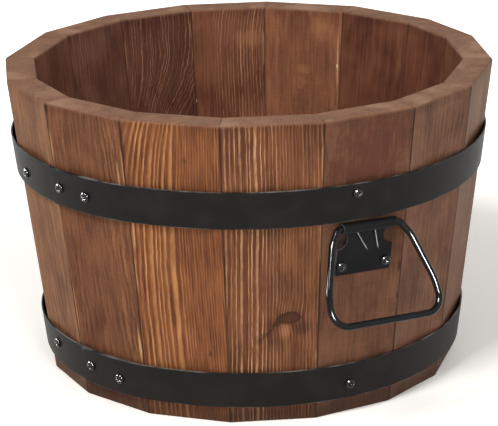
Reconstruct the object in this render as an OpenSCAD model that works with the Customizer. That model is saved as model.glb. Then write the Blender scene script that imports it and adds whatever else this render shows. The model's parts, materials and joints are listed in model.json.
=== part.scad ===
// Round tapered tub planter: upright staves, a boarded base in a groove, two screwed
// steel hoops and two wire bail handles.
// Millimetres. The axis of the tub is Z, the floor is z = 0 and the right handle is at +X.

/* [Staves] */
// Height of the staves
tub_h = 262; // [240:1:320]
// Radius from the axis to the stave corners at the rim
rim_r = 210; // [195:1:240]
// Radius from the axis to the stave corners at the floor
foot_r = 180; // [165:1:195]
// Thickness of a stave
stave_t = 25; // [20:0.5:30]
// Gap between neighbouring staves
joint_gap = 0.3; // [0.1:0.1:0.6]
// Depth of the small bevel along each outer joint
joint_bevel = 1.2; // [0.4:0.1:2]
// Bevel of the edges at the rim and the foot
edge_bevel = 1.5; // [0.5:0.5:3]

/* [Base] */
// Height of the underside of the base above the floor
base_z = 20; // [12:1:30]
// Thickness of the base boards
base_t = 18; // [12:1:24]
// Depth of the groove that holds the base
groove_d = 8; // [4:0.5:10]
// Clearance of the base in its groove, above, below and at the end
groove_clear = 0.5; // [0.2:0.1:1]
// Gap between neighbouring base boards
board_gap = 1; // [0.4:0.1:3]
// Diameter of a drain hole
drain_d = 14; // [8:1:20]
// Distance of the side drain holes from the middle of their board
drain_x = 75; // [50:1:95]

/* [Hoops] */
// Width of a hoop
hoop_w = 32; // [26:1:38]
// Thickness of a hoop
hoop_t = 1.4; // [1:0.1:2.5]
// Height of the middle of the upper hoop
upper_hoop_z = 191; // [185:1:205]
// Height of the middle of the lower hoop
lower_hoop_z = 31; // [22:1:50]
// Direction of the outer end of the upper hoop
upper_lap_a = -79.4; // [-82:0.2:-78]
// Direction of the outer end of the lower hoop
lower_lap_a = -77.3; // [-79:0.2:-76]
// Angle over which the two ends of a hoop lap
lap_span = 17; // [15:1:20]
// Angle over which the strap steps down past its inner end
step_span = 16; // [12:1:24]
// Gap between the two layers of the lap
lap_gap = 0.1; // [0.05:0.05:0.4]

/* [Screws] */
// Diameter of a screw head
head_d = 8.4; // [7:0.2:10]
// Height of a screw head
head_h = 2.8; // [2:0.1:4]
// Diameter of a screw shank
shank_d = 4; // [3:0.1:5]
// Length of a screw under its head
screw_len = 20; // [16:1:24]
// Clearance round a screw shank in the metal
screw_clear = 0.2; // [0.1:0.05:0.5]
// Clearance round a screw shank in the wood
pilot_clear = 0.05; // [0.02:0.01:0.1]
// Depth of a pilot hole past the screw's tip
pilot_past = 1; // [0.5:0.5:1.5]

/* [Handles] */
// Gap between the upper hoop and the barrel under it
barrel_gap = 2; // [1:0.5:8]
// Turn of the handle as screwed on, its far end low, in degrees
handle_tilt = 2.3; // [0:0.1:4]
// Sideways shift of the handle from the middle of its stave
handle_shift = 2; // [0:0.5:4]
// Thickness of the plate
leaf_t = 1.5; // [1:0.1:2]
// Width of the plate
leaf_w = 52; // [50:1:60]
// Distance from the pivot down to the lower edge of the plate
leaf_drop = 42.5; // [38:0.5:46]
// Radius of the plate's lower corners
leaf_corner_r = 2.5; // [1:0.5:5]
// Radius of the notches beside the neck
notch_r = 8; // [5:0.5:9]
// Distance from the pivot down to the middle of the notches
notch_drop = 11.5; // [10.5:0.5:13]
// Width of the neck between the notches
neck_w = 34; // [30:1:38]
// Length of the rolled barrel
barrel_len = 50; // [44:1:52]
// Thickness of the barrel's wall
barrel_t = 1.5; // [1:0.1:2]
// Distance from the plate's screws to its side edges
leaf_screw_edge = 5.5; // [5:0.5:8]
// Distance from the plate's screws to its lower edge
leaf_screw_rise = 8; // [6:0.5:11]
// Width of the pressed ribs
rib_w = 1.8; // [1.2:0.1:3]
// Height of the pressed ribs at the barrel
rib_h = 3.2; // [1.5:0.1:4]
// Height of the pressed ribs at their lower tips
rib_tip_h = 0.5; // [0.2:0.1:1]
// Distance from the pivot down to the lower tip of the ribs
rib_drop = 23; // [18:1:26]

/* [Bails] */
// Diameter of the bail's wire
wire_d = 5.6; // [4:0.1:6]
// Clearance of the wire in the barrel, on the radius
wire_clear = 0.08; // [0.03:0.01:0.1]
// Distance from the barrel's end to the wire's first bend
exit_clear = 0.3; // [0.2:0.1:1]
// Gap between the two wire ends inside the barrel
wire_end_gap = 1; // [0.5:0.5:4]
// Distance from the pivot down to the middle of the bail's bottom bar
bail_drop = 77; // [72:0.5:82]
// Distance of the bail's bottom corners outside the barrel's ends
corner_out = 26.2; // [25:0.2:31]
// Distance of the bail's knees outside the barrel's ends
knee_out = 23.8; // [20:0.2:24.6]
// Height of the knees above the middle of the bottom bar
knee_rise = 27; // [25:0.5:33]
// Distance of the bail's shoulders outside the barrel's ends
shoulder_out = 11.5; // [9.5:0.5:13]
// Distance from the pivot down to the shoulder
shoulder_drop = 12; // [11:0.5:14]
// Bend radius where the wire leaves the barrel
exit_bend_r = 6; // [5:0.5:7]
// Bend radius of the shoulder
shoulder_bend_r = 25; // [15:1:30]
// Bend radius of the knee
knee_bend_r = 60; // [40:5:80]
// Bend radius of the bottom corners
corner_bend_r = 14; // [8:0.5:16]
// Angle of the stored bail, out from hanging straight down
bail_swing = 28; // [0:1:60]

/* [Hidden] */
STAVES = 16;
BOARDS = 5;
STAVE_NODES = [
    "stave_01", "stave_02", "stave_03", "stave_04", "stave_05", "stave_06", "stave_07", "stave_08",
    "stave_09", "stave_10", "stave_11", "stave_12", "stave_13", "stave_14", "stave_15", "stave_16",
];
BOARD_NODES = ["base_board_1", "base_board_2", "base_board_3", "base_board_4", "base_board_5"];
$fn = 96;

WOOD = "sienna";
INNER_WOOD = "peru";
BLACK_STEEL = [0.16, 0.16, 0.17];
WIRE_STEEL = [0.1, 0.1, 0.11];
RIGHT = 0;
LEFT = 180;
// Overshoot of a cut past the face that it opens
over = 5;
pitch = 360 / STAVES;

// How far each joint stands from an even spacing, in degrees: the staves differ in width.
// Joint 0 is the lower side of stave 1, which carries the right handle.
joint_shift = [0, 0, -1, 1, 0.8, -1.8, -0.5, 0.8, 0, 0, -0.5, 2.3, 1, 0, 0, 0];

// Screws of each hoop: direction, and height above the middle of the hoop as a share of its
// width. A lap's directions are measured from its outer end, and its screws hold both layers.
upper_lap_screws = [[3.3, 0], [11.8, -0.03]];
upper_screws = [[-93.4, -0.09], [-3, 0.235], [90, 0.03], [177, 0.19]];
lower_lap_screws = [[3.5, 0.045], [13.5, -0.06]];
lower_screws = [[-91.2, 0.125], [-2.2, -0.09], [90, 0], [178, 0.06]];

// Pressed ribs of a plate: place across the neck at the barrel and at the lower tip, as a
// share of the neck's width.
ribs = [[-0.31, 0.08], [0.185, 0.37]];

// Angle that keeps the strap's inner end clear of the step, in degrees.
inner_end_clear_a = 0.5;

// Bent stretches of strap and wire are fatter by blend_fat on each side. A straight or plain
// stretch enters them by blend_len, or by the angle blend_a.
blend_fat = 0.02;
blend_len = 0.1;
blend_a = 0.1;

function corner_r(z) = foot_r + (rim_r - foot_r) * z / tub_h;
corner_lean = atan((rim_r - foot_r) / tub_h);

// Direction of joint j, with stave i between joints i - 1 and i.
function joint_a(j) = (j - 0.5) * pitch + joint_shift[j % STAVES];
function stave_a(i) = (joint_a(i - 1) + joint_a(i)) / 2;
function half_a(i) = (joint_a(i) - joint_a(i - 1)) / 2;
function face_r(i, z) = corner_r(z) * cos(half_a(i));
function face_lean(i) = atan((rim_r - foot_r) * cos(half_a(i)) / tub_h);
function inner_r(i, z) = face_r(i, z) - stave_t / cos(face_lean(i));
function groove_r(i) = inner_r(i, base_z) + groove_d;

// Smallest turn from one direction to another.
function turn_between(a, b) = abs((a - b + 540) % 360 - 180);

// Point where two lines meet, each at a distance d from the axis, square to direction a.
function meet(a1, d1, a2, d2) = [
    (d1 * sin(a2) - d2 * sin(a1)) / sin(a2 - a1),
    (d2 * cos(a1) - d1 * cos(a2)) / sin(a2 - a1),
];

module turned(a) {
    rotate([0, 0, a])
        children();
}

// Places children on a plane that stands on radius r at height z and leans out with the tub:
// their X points out of it and their Z runs up along it.
module on_lean(r, z, lean) {
    translate([r, 0, z])
        rotate([0, lean, 0])
            children();
}

module edge_cut(r, z, size) {
    translate([r, 0, z])
        rotate([0, 45, 0])
            cube([size * sqrt(2), 2 * rim_r, size * sqrt(2)], center = true);
}

module stave_wedge(i) {
    reach = 2 * rim_r;
    half = half_a(i);
    shift = joint_gap / 2 / sin(half);
    translate([shift, 0, 0])
        linear_extrude(tub_h)
            polygon([[0, 0], [reach, -reach * tan(half)], [reach, reach * tan(half)]]);
}

module stave_slab(i) {
    long = 2 * tub_h;
    on_lean(foot_r * cos(half_a(i)), 0, face_lean(i))
        translate([-stave_t, -rim_r, -long / 4])
            cube([stave_t, 2 * rim_r, long]);
}

module joint_cuts(i) {
    for (side = [-1, 1])
        turned(side * half_a(i))
            on_lean(foot_r, 0, corner_lean)
                translate([0, 0, -over])
                    linear_extrude(tub_h + 4 * over)
                        circle(r = joint_bevel, $fn = 4);
}

module stave(i) {
    color(WOOD)
        difference() {
            turned(stave_a(i))
                difference() {
                    intersection() {
                        stave_wedge(i);
                        stave_slab(i);
                    }
                    joint_cuts(i);
                    for (z = [0, tub_h]) {
                        edge_cut(face_r(i, z), z, edge_bevel);
                        edge_cut(inner_r(i, z), z, edge_bevel);
                    }
                    translate([0, -rim_r, base_z - groove_clear])
                        cube([groove_r(i), 2 * rim_r, base_t + 2 * groove_clear]);
                }
            stave_pilots(i);
        }
}

base_outline = [
    for (i = [1:STAVES])
        meet(stave_a(i), groove_r(i) - groove_clear,
             stave_a(i + 1), groove_r(i % STAVES + 1) - groove_clear)
];
base_reach = max([for (p = base_outline) norm(p)]);
board_pitch = 2 * base_reach / BOARDS;

// Drain holes: one in the middle of the middle board, two in each board beside it.
drains = concat([[0, 0]], [for (x = [-drain_x, drain_x], y = [-board_pitch, board_pitch]) [x, y]]);

module base_board(n) {
    low_y = -base_reach + (n - 1) * board_pitch;
    color(INNER_WOOD)
        difference() {
            translate([0, 0, base_z])
                linear_extrude(base_t)
                    intersection() {
                        polygon(base_outline);
                        translate([-rim_r, low_y + board_gap / 2])
                            square([2 * rim_r, board_pitch - board_gap]);
                    }
            for (p = drains)
                if (abs(p[1] - low_y - board_pitch / 2) < board_pitch / 2)
                    translate([p[0], p[1], base_z - over])
                        cylinder(d = drain_d, h = base_t + 2 * over);
        }
}

strap_t = hoop_t / cos(corner_lean);
layer_step = strap_t + lap_gap;

// Part of a hoop: a leaning strap from direction a1 to a2, proud of the stave corners by proud,
// curved round a centre that lies on direction ca at distance cd, and swollen all round by fat.
module strap_arc(mid_z, a1, a2, proud = 0, ca = 0, cd = 0, fat = 0) {
    low_z = mid_z - hoop_w / 2 * cos(corner_lean);
    high_z = mid_z + hoop_w / 2 * cos(corner_lean);
    low_r = corner_r(low_z) + proud - cd;
    high_r = corner_r(high_z) + proud - cd;
    translate([cd * cos(ca), cd * sin(ca), 0])
        turned(a1)
            rotate_extrude(angle = a2 - a1, $fn = 360)
                polygon([[low_r - fat, low_z - fat], [low_r + strap_t + fat, low_z - fat],
                         [high_r + strap_t + fat, high_z + fat], [high_r - fat, high_z + fat]]);
}

// One strap, wound once round the tub and over its own start: the upper layer of the lap, two
// arcs that step down without a kink, then the plain run round to the inner end. Each arc
// enters the next, slightly fatter one by a small angle, so that they are one solid.
module strap(mid_z, lap_a) {
    inner_end_a = lap_a + lap_span;
    mid_a = inner_end_a + step_span / 2;
    run_a = inner_end_a + step_span;
    swing_r = layer_step / 2 / (1 - cos(step_span / 2));
    strap_arc(mid_z, lap_a, inner_end_a + blend_a, layer_step);
    strap_arc(mid_z, inner_end_a, mid_a, layer_step, inner_end_a, swing_r, 2 * blend_fat);
    strap_arc(mid_z, mid_a - blend_a, run_a, 0, run_a, -swing_r, blend_fat);
    strap_arc(mid_z, run_a - blend_a, inner_end_a + 360 - inner_end_clear_a);
}

// Puts children on the outer face of a hoop, at a screw's place and on the given layer.
module on_hoop(mid_z, place, layer = 0) {
    z = mid_z + place[1] * hoop_w;
    turned(place[0])
        on_lean(corner_r(z) + strap_t + layer * layer_step, z, corner_lean)
            children();
}

module on_hoop_screws(mid_z, lap_a, lap_places, places) {
    for (p = lap_places)
        on_hoop(mid_z, [lap_a + p[0], p[1]], 1)
            children();
    for (p = places)
        on_hoop(mid_z, p)
            children();
}

// Hole along X for a screw whose head stands at the origin.
module hole_along(r) {
    translate([-screw_len - pilot_past, 0, 0])
        rotate([0, 90, 0])
            cylinder(r = r, h = screw_len + pilot_past + head_h);
}

module hoop(mid_z, lap_a, lap_places, places) {
    color(BLACK_STEEL)
        difference() {
            strap(mid_z, lap_a);
            on_hoop_screws(mid_z, lap_a, lap_places, places)
                hole_along(shank_d / 2 + screw_clear);
        }
}

module upper_hoop() {
    hoop(upper_hoop_z, upper_lap_a, upper_lap_screws, upper_screws);
}

module lower_hoop() {
    hoop(lower_hoop_z, lower_lap_a, lower_lap_screws, lower_screws);
}

// A pan-head screw along X, the underside of its head at the origin and its tip inside.
module screw() {
    rim_h = head_h * 0.4;
    crown = head_h - rim_h;
    dome_r = (pow(head_d / 2, 2) + crown * crown) / (2 * crown);
    slot_w = head_d * 0.13;
    slot_len = head_d * 0.5;
    slot_floor = head_h * 0.45;
    tip_len = shank_d;
    tip_r = shank_d / 8;
    rotate([0, 90, 0]) {
        difference() {
            intersection() {
                cylinder(d = head_d, h = head_h);
                translate([0, 0, head_h - dome_r])
                    sphere(r = dome_r);
            }
            for (a = [0, 90])
                rotate([0, 0, a + 45])
                    translate([-slot_len / 2, -slot_w / 2, slot_floor])
                        cube([slot_len, slot_w, head_h]);
        }
        translate([0, 0, tip_len - screw_len])
            cylinder(d = shank_d, h = screw_len - tip_len);
        translate([0, 0, -screw_len])
            cylinder(r1 = tip_r, r2 = shank_d / 2, h = tip_len);
    }
}

module upper_hoop_screws() {
    color(BLACK_STEEL)
        on_hoop_screws(upper_hoop_z, upper_lap_a, upper_lap_screws, upper_screws)
            screw();
}

module lower_hoop_screws() {
    color(BLACK_STEEL)
        on_hoop_screws(lower_hoop_z, lower_lap_a, lower_lap_screws, lower_screws)
            screw();
}

bore_r = wire_d / 2 + wire_clear;
barrel_r = bore_r + barrel_t;
pivot_z = upper_hoop_z - hoop_w / 2 * cos(corner_lean) - barrel_gap - barrel_r;

// Stave that a handle stands on, and the frame on its outer face at the pivot's height.
function handle_stave(side) = side == RIGHT ? 1 : 1 + STAVES / 2;
module on_face(side) {
    i = handle_stave(side);
    turned(stave_a(i))
        translate([0, handle_shift, 0])
            on_lean(face_r(i, pivot_z), pivot_z, face_lean(i))
                rotate([-handle_tilt, 0, 0])
                    children();
}

leaf_screw_y = leaf_w / 2 - leaf_screw_edge;
leaf_screw_z = leaf_screw_rise - leaf_drop;

module on_leaf_screws() {
    for (side = [-1, 1])
        translate([leaf_t, side * leaf_screw_y, leaf_screw_z])
            children();
}

// Flat outline of the plate, X across and Y up, with the pivot at the origin.
module leaf_outline() {
    difference() {
        union() {
            translate([-leaf_w / 2, leaf_corner_r - leaf_drop])
                square([leaf_w, leaf_drop - leaf_corner_r - notch_drop + notch_r / 2]);
            translate([leaf_corner_r - leaf_w / 2, -leaf_drop])
                square([leaf_w - 2 * leaf_corner_r, leaf_corner_r]);
            for (side = [-1, 1])
                translate([side * (leaf_w / 2 - leaf_corner_r), leaf_corner_r - leaf_drop])
                    circle(r = leaf_corner_r);
            translate([-barrel_len / 2, -notch_drop])
                square([barrel_len, notch_drop]);
        }
        for (side = [-1, 1])
            translate([side * (neck_w / 2 + notch_r), -notch_drop])
                circle(r = notch_r);
    }
}

// A pressed rib: a low wedge that rises from the plate towards the barrel.
module rib(top_y, tip_y) {
    top_z = -barrel_r * 0.6;
    run = [tip_y - top_y, -rib_drop - top_z];
    translate([leaf_t / 2, top_y, top_z])
        rotate([atan2(run[0], -run[1]), 0, 0])
            translate([0, rib_w / 2, 0])
                rotate([90, 0, 0])
                    linear_extrude(rib_w)
                        polygon([[0, 0], [leaf_t / 2 + rib_h, 0],
                                 [leaf_t / 2 + rib_tip_h, -norm(run)], [0, -norm(run)]]);
}

module handle_plate(side) {
    color(BLACK_STEEL)
        on_face(side)
            difference() {
                union() {
                    rotate([90, 0, 90])
                        linear_extrude(leaf_t)
                            leaf_outline();
                    translate([barrel_r, barrel_len / 2, 0])
                        rotate([90, 0, 0])
                            cylinder(r = barrel_r, h = barrel_len);
                    for (r = ribs)
                        rib(r[0] * neck_w, r[1] * neck_w);
                }
                translate([barrel_r, barrel_len, 0])
                    rotate([90, 0, 0])
                        cylinder(r = bore_r, h = 2 * barrel_len);
                on_leaf_screws()
                    hole_along(shank_d / 2 + screw_clear);
            }
}

module plate_screws(side) {
    color(BLACK_STEEL)
        on_face(side)
            on_leaf_screws()
                screw();
}

// Pilot holes of the screws that stand in stave i.
module stave_pilots(i) {
    r = shank_d / 2 + pilot_clear;
    near = half_a(i) + atan(head_d / foot_r);
    for (h = [[upper_hoop_z, upper_lap_a, upper_lap_screws, upper_screws],
              [lower_hoop_z, lower_lap_a, lower_lap_screws, lower_screws]]) {
        for (p = h[2])
            if (turn_between(h[1] + p[0], stave_a(i)) < near)
                on_hoop(h[0], [h[1] + p[0], p[1]], 1)
                    hole_along(r);
        for (p = h[3])
            if (turn_between(p[0], stave_a(i)) < near)
                on_hoop(h[0], p)
                    hole_along(r);
    }
    for (side = [RIGHT, LEFT])
        if (i == handle_stave(side))
            on_face(side)
                on_leaf_screws()
                    hole_along(r);
}

// Length that a bend of radius r takes from each leg where the path turns by angle a.
function bend_leg(r, a) = r * tan(a / 2);

// The wire's first corner stands off the barrel's end by the length of its bend. That length
// depends on the corner's own place, so the place is found by steps.
exit_steps = 12;
function exit_x(guess, n) = n == 0 ? guess : exit_x(
    barrel_len / 2 + exit_clear
        + bend_leg(exit_bend_r, atan2(shoulder_drop, barrel_len / 2 + shoulder_out - guess)),
    n - 1);
exit_half_w = exit_x(barrel_len / 2 + exit_bend_r / 2, exit_steps);

// The wire's path: sideways and away from the pivot, with the bend radius at each corner.
half_path = [
    [[wire_end_gap / 2, 0], 0],
    [[exit_half_w, 0], exit_bend_r],
    [[barrel_len / 2 + shoulder_out, shoulder_drop], shoulder_bend_r],
    [[barrel_len / 2 + knee_out, bail_drop - knee_rise], knee_bend_r],
    [[barrel_len / 2 + corner_out, bail_drop], corner_bend_r],
];
half_n = len(half_path);
wire_path = [
    for (k = [0:2 * half_n - 1])
        let (p = half_path[k < half_n ? k : 2 * half_n - 1 - k])
            [[k < half_n ? p[0][0] : -p[0][0], p[0][1]], p[1]]
];
last = len(wire_path) - 1;

function run_a(k) = let (d = wire_path[k + 1][0] - wire_path[k][0]) atan2(d[1], d[0]);
function run_len(k) = norm(wire_path[k + 1][0] - wire_path[k][0]);
function corner_turn(k) = k == 0 || k == last ? 0 : (run_a(k) - run_a(k - 1) + 360) % 360;
function corner_leg(k) = bend_leg(wire_path[k][1], corner_turn(k));

// Straight stretch of wire between corners k and k + 1.
module wire_run(k) {
    start = corner_leg(k) - (k > 0 ? blend_len : 0);
    end = run_len(k) - corner_leg(k + 1) + (k + 1 < last ? blend_len : 0);
    translate(wire_path[k][0])
        turned(run_a(k))
            translate([start, 0, 0])
                rotate([0, 90, 0])
                    cylinder(d = wire_d, h = end - start);
}

// Bend of the wire at corner k.
module wire_bend(k) {
    bend_r = wire_path[k][1];
    translate(wire_path[k][0])
        turned(run_a(k - 1))
            translate([-corner_leg(k), bend_r, 0])
                turned(-90)
                    rotate_extrude(angle = corner_turn(k))
                        translate([bend_r, 0])
                            circle(r = wire_d / 2 + blend_fat);
}

module bail(side) {
    i = handle_stave(side);
    color(WIRE_STEEL)
        on_face(side)
            translate([barrel_r, 0, 0])
                rotate([0, -face_lean(i) - bail_swing, 0])
                    rotate([-90, 0, 90]) {
                        for (k = [0:last - 1])
                            wire_run(k);
                        for (k = [1:last - 1])
                            wire_bend(k);
                    }
}

stave(1);  // stave_01
stave(2);  // stave_02
stave(3);  // stave_03
stave(4);  // stave_04
stave(5);  // stave_05
stave(6);  // stave_06
stave(7);  // stave_07
stave(8);  // stave_08
stave(9);  // stave_09
stave(10);  // stave_10
stave(11);  // stave_11
stave(12);  // stave_12
stave(13);  // stave_13
stave(14);  // stave_14
stave(15);  // stave_15
stave(16);  // stave_16
base_board(1);  // base_board_1
base_board(2);  // base_board_2
base_board(3);  // base_board_3
base_board(4);  // base_board_4
base_board(5);  // base_board_5
upper_hoop();
lower_hoop();
upper_hoop_screws();
lower_hoop_screws();
handle_plate(RIGHT);  // right_handle_plate
handle_plate(LEFT);  // left_handle_plate
plate_screws(RIGHT);  // right_plate_screws
plate_screws(LEFT);  // left_plate_screws
bail(RIGHT);  // right_bail
bail(LEFT);  // left_bail
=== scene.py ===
"""Looks of a round wooden tub planter: stained staves, black hoops and hinged wire handles.

Metres throughout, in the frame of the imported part: the tub's axis is Z, the floor is z = 0 and
the right handle is at +X. Stave 1 carries the right handle, and the staves count anticlockwise
as seen from above.
"""

import json
import logging
import math
from collections.abc import Iterable, Sequence
from dataclasses import dataclass, field, replace
from enum import Enum

import bmesh
import bpy
from mathutils import Matrix, Vector, noise

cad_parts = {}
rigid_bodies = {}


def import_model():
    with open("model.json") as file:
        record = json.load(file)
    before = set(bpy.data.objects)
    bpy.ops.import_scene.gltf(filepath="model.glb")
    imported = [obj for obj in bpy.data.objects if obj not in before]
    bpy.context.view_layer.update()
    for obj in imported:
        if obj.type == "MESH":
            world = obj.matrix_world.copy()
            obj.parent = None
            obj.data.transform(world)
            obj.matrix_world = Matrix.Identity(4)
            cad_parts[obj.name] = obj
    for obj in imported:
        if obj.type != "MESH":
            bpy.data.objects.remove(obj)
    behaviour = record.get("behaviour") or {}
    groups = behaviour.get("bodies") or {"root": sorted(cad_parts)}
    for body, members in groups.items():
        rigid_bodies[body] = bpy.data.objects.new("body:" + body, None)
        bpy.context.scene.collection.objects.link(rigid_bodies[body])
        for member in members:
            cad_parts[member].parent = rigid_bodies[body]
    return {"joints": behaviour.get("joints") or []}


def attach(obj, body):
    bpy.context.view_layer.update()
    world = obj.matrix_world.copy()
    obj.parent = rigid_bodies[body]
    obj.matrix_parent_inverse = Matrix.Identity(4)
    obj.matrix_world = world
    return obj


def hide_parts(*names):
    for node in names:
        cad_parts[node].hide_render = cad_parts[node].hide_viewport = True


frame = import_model()

log = logging.getLogger("tub_planter")
MM = 0.001
TUB_BODY = "tub"
Colour = tuple[float, float, float, float]
Point = tuple[float, float]
Place = tuple[float, float, float]
Level = tuple[float, float, bool]
SEED_STEP = 7.31


def srgb(red: float, green: float, blue: float) -> Colour:
    """Turns a colour as seen on a screen into the renderer's linear light.

    Args:
        red: Red from 0 to 255.
        green: Green from 0 to 255.
        blue: Blue from 0 to 255.

    Returns:
        The linear colour with an alpha of 1.
    """
    def linear(level: float) -> float:
        """Linear share of one channel."""
        share = level / 255
        return share / 12.92 if share <= 0.04045 else ((share + 0.055) / 1.055) ** 2.4

    return (linear(red), linear(green), linear(blue), 1.0)


def tinted(colour: Colour, red: float, others: float) -> Colour:
    """A colour with its red, and its green and blue, multiplied."""
    return (colour[0] * red, colour[1] * others, colour[2] * others, 1.0)


def smooth(share: float) -> float:
    """Smooth step of a share that is held between 0 and 1."""
    held = min(max(share, 0.0), 1.0)
    return held * held * (3 - 2 * held)


def drift(x: float, y: float, seed: float) -> float:
    """Smooth noise from -1 to 1 at a place, for one seed."""
    return noise.noise(Vector((x, y, seed * SEED_STEP)))


class Sock:
    """A socket of a shader tree. Operators on it add Math or Vector Math nodes."""

    def __init__(self, shader: "Shader", socket: bpy.types.NodeSocket) -> None:
        """Wraps one output socket.

        Args:
            shader: Tree that the socket is in.
            socket: Output socket of a node.
        """
        self.shader = shader
        self.socket = socket

    def sibling(self, name: str) -> "Sock":
        """Another output of the same node."""
        return Sock(self.shader, self.socket.node.outputs[name])

    def _calc(self, operation: str, *values: "Sock | float | Place") -> "Sock":
        """Adds one Math node, or one Vector Math node if this is a vector.

        Args:
            operation: Blender's name of the operation.
            values: What the node works on, in order.

        Returns:
            The result.
        """
        is_vector = self.socket.type == "VECTOR"
        kind = "ShaderNodeVectorMath" if is_vector else "ShaderNodeMath"
        return self.shader.node(kind, {"operation": operation}, dict(enumerate(values)))

    def __add__(self, other: "Sock | float | Place") -> "Sock":
        """self + other."""
        return self._calc("ADD", self, other)

    def __radd__(self, other: "float | Place") -> "Sock":
        """other + self."""
        return self._calc("ADD", other, self)

    def __sub__(self, other: "Sock | float") -> "Sock":
        """self - other."""
        return self._calc("SUBTRACT", self, other)

    def __rsub__(self, other: float) -> "Sock":
        """other - self."""
        return self._calc("SUBTRACT", other, self)

    def __mul__(self, other: "Sock | float | Place") -> "Sock":
        """self * other."""
        return self._calc("MULTIPLY", self, other)

    def __rmul__(self, other: "float | Place") -> "Sock":
        """other * self."""
        return self._calc("MULTIPLY", other, self)

    def __truediv__(self, other: "Sock | float") -> "Sock":
        """self / other."""
        return self._calc("DIVIDE", self, other)

    def __rtruediv__(self, other: float) -> "Sock":
        """other / self."""
        return self._calc("DIVIDE", other, self)

    def floor(self) -> "Sock":
        """Largest whole number that is not above self."""
        return self._calc("FLOOR", self)

    def fraction(self) -> "Sock":
        """What is left of self above its whole number."""
        return self._calc("FRACT", self)

    def positive(self) -> "Sock":
        """Self, and 0 where self is below 0."""
        return self._calc("MAXIMUM", self, 0.0)

    def root(self) -> "Sock":
        """Square root of self."""
        return self._calc("SQRT", self)

    def size(self) -> "Sock":
        """Self without its sign."""
        return self._calc("ABSOLUTE", self)

    def falloff(self) -> "Sock":
        """Bell curve of self: 1 at 0 and nearly 0 past 2."""
        return self._calc("POWER", math.e, self * self * -1.0)

    def band(self, low: float, high: float, to_low: float = 0.0, to_high: float = 1.0) -> "Sock":
        """Smooth step of self.

        Args:
            low: Value at which the step starts.
            high: Value at which it ends.
            to_low: Result up to the start.
            to_high: Result from the end on.

        Returns:
            The stepped value, held between to_low and to_high.
        """
        settings = {"interpolation_type": "SMOOTHSTEP", "clamp": True}
        return self.shader.node("ShaderNodeMapRange", settings,
                                {"Value": self, "From Min": low, "From Max": high,
                                 "To Min": to_low, "To Max": to_high})

    def fade(self, low: float, high: float) -> "Sock":
        """Smooth step of self down from 1 at low to 0 at high."""
        return self.band(low, high, 1.0, 0.0)


class Texture(Enum):
    """Noises: changes per metre along each axis, number of finer layers, and their strength."""

    FIBRE = (620, 620, 26), 3, 0.65
    FINE_FIBRE = (1500, 1500, 40), 2, 0.6
    STREAK = (170, 170, 5), 3, 0.6
    SPECKS = (900, 900, 900), 2, 0.5
    CHIPS = (70, 70, 15), 3, 0.6
    END_CLOUDS = (70, 70, 70), 4, 0.6
    END_PATCHES = (24, 24, 24), 3, 0.5
    SLOW_SWAY = (9, 9, 7), 1, 0.5
    QUICK_SWAY = (70, 70, 44), 3, 0.6
    BREAKS = (130, 130, 30), 4, 0.7
    BLOTCHES = (30, 30, 22), 4, 0.55
    SAW_MARKS = (60, 60, 900), 3, 0.7
    RAGS = (160, 160, 60), 4, 0.65
    KNOT_GRIT = (480, 480, 380), 3, 0.7
    DUST = (38, 38, 38), 4, 0.6
    SCRATCHES = (60, 60, 700), 2, 0.7
    RUBBING = (34, 34, 34), 4, 0.6


class Shader:
    """The node tree of a material or world, with short calls for what the finishes need."""

    def __init__(self, owner: bpy.types.Material | bpy.types.World) -> None:
        """Empties the node tree of a material or world.

        Args:
            owner: The material or world.
        """
        owner.use_nodes = True
        self.owner = owner
        self.tree = owner.node_tree
        self.tree.nodes.clear()

    def node(self, kind: str, settings: dict | None = None, inputs: dict | None = None,
             out: str | int = 0) -> Sock:
        """Adds one node.

        Args:
            kind: Blender's name of the node type.
            settings: Properties of the node.
            inputs: Value or link for each input socket, by name or number.
            out: Name or number of the output that is returned.

        Returns:
            The chosen output socket.
        """
        made = self.tree.nodes.new(kind)
        for key, value in (settings or {}).items():
            setattr(made, key, value)
        for key, value in (inputs or {}).items():
            if isinstance(value, Sock):
                self.tree.links.new(value.socket, made.inputs[key])
            else:
                made.inputs[key].default_value = value
        return Sock(self, made.outputs[out] if len(made.outputs) else None)

    def attribute(self, name: str) -> Sock:
        """Vector that the mesh holds under a name."""
        settings = {"attribute_type": "GEOMETRY", "attribute_name": name}
        return self.node("ShaderNodeAttribute", settings, out="Vector")

    def split(self, vector: Sock) -> tuple[Sock, Sock, Sock]:
        """The three parts of a vector."""
        x = self.node("ShaderNodeSeparateXYZ", inputs={"Vector": vector})
        return x, x.sibling("Y"), x.sibling("Z")

    def noise(self, place: Sock, texture: Texture) -> Sock:
        """Noise from 0 to 1.

        Args:
            place: Vector at which the noise is read.
            texture: The noise's sizes and strength.

        Returns:
            The noise value.
        """
        stretch, detail, roughness = texture.value
        return self.node("ShaderNodeTexNoise", {"noise_dimensions": "3D"},
                         {"Vector": place * stretch, "Scale": 1.0,
                          "Detail": detail, "Roughness": roughness})

    def mix(self, share: Sock | float, low: Sock | Colour, high: Sock | Colour,
            way: str = "MIX") -> Sock:
        """Mixes two colours.

        Args:
            share: How much of the second colour is used.
            low: First colour.
            high: Second colour.
            way: Blender's name of the blend type.

        Returns:
            The mixed colour.
        """
        return self.node("ShaderNodeMix", {"data_type": "RGBA", "blend_type": way},
                         {0: share, 6: low, 7: high}, out=2)

    def bump(self, height_mm: Sock) -> Sock:
        """Normal of a surface raised by a height in millimetres."""
        return self.node("ShaderNodeBump", inputs={"Height": height_mm, "Distance": MM})

    def surface(self, inputs: dict) -> bpy.types.Material:
        """Ends the tree in one Principled shader.

        Args:
            inputs: Value or link for each input socket of the shader.

        Returns:
            The finished material.
        """
        shader = self.node("ShaderNodeBsdfPrincipled", inputs=inputs)
        self.node("ShaderNodeOutputMaterial", inputs={"Surface": shader})
        return self.owner


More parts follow.
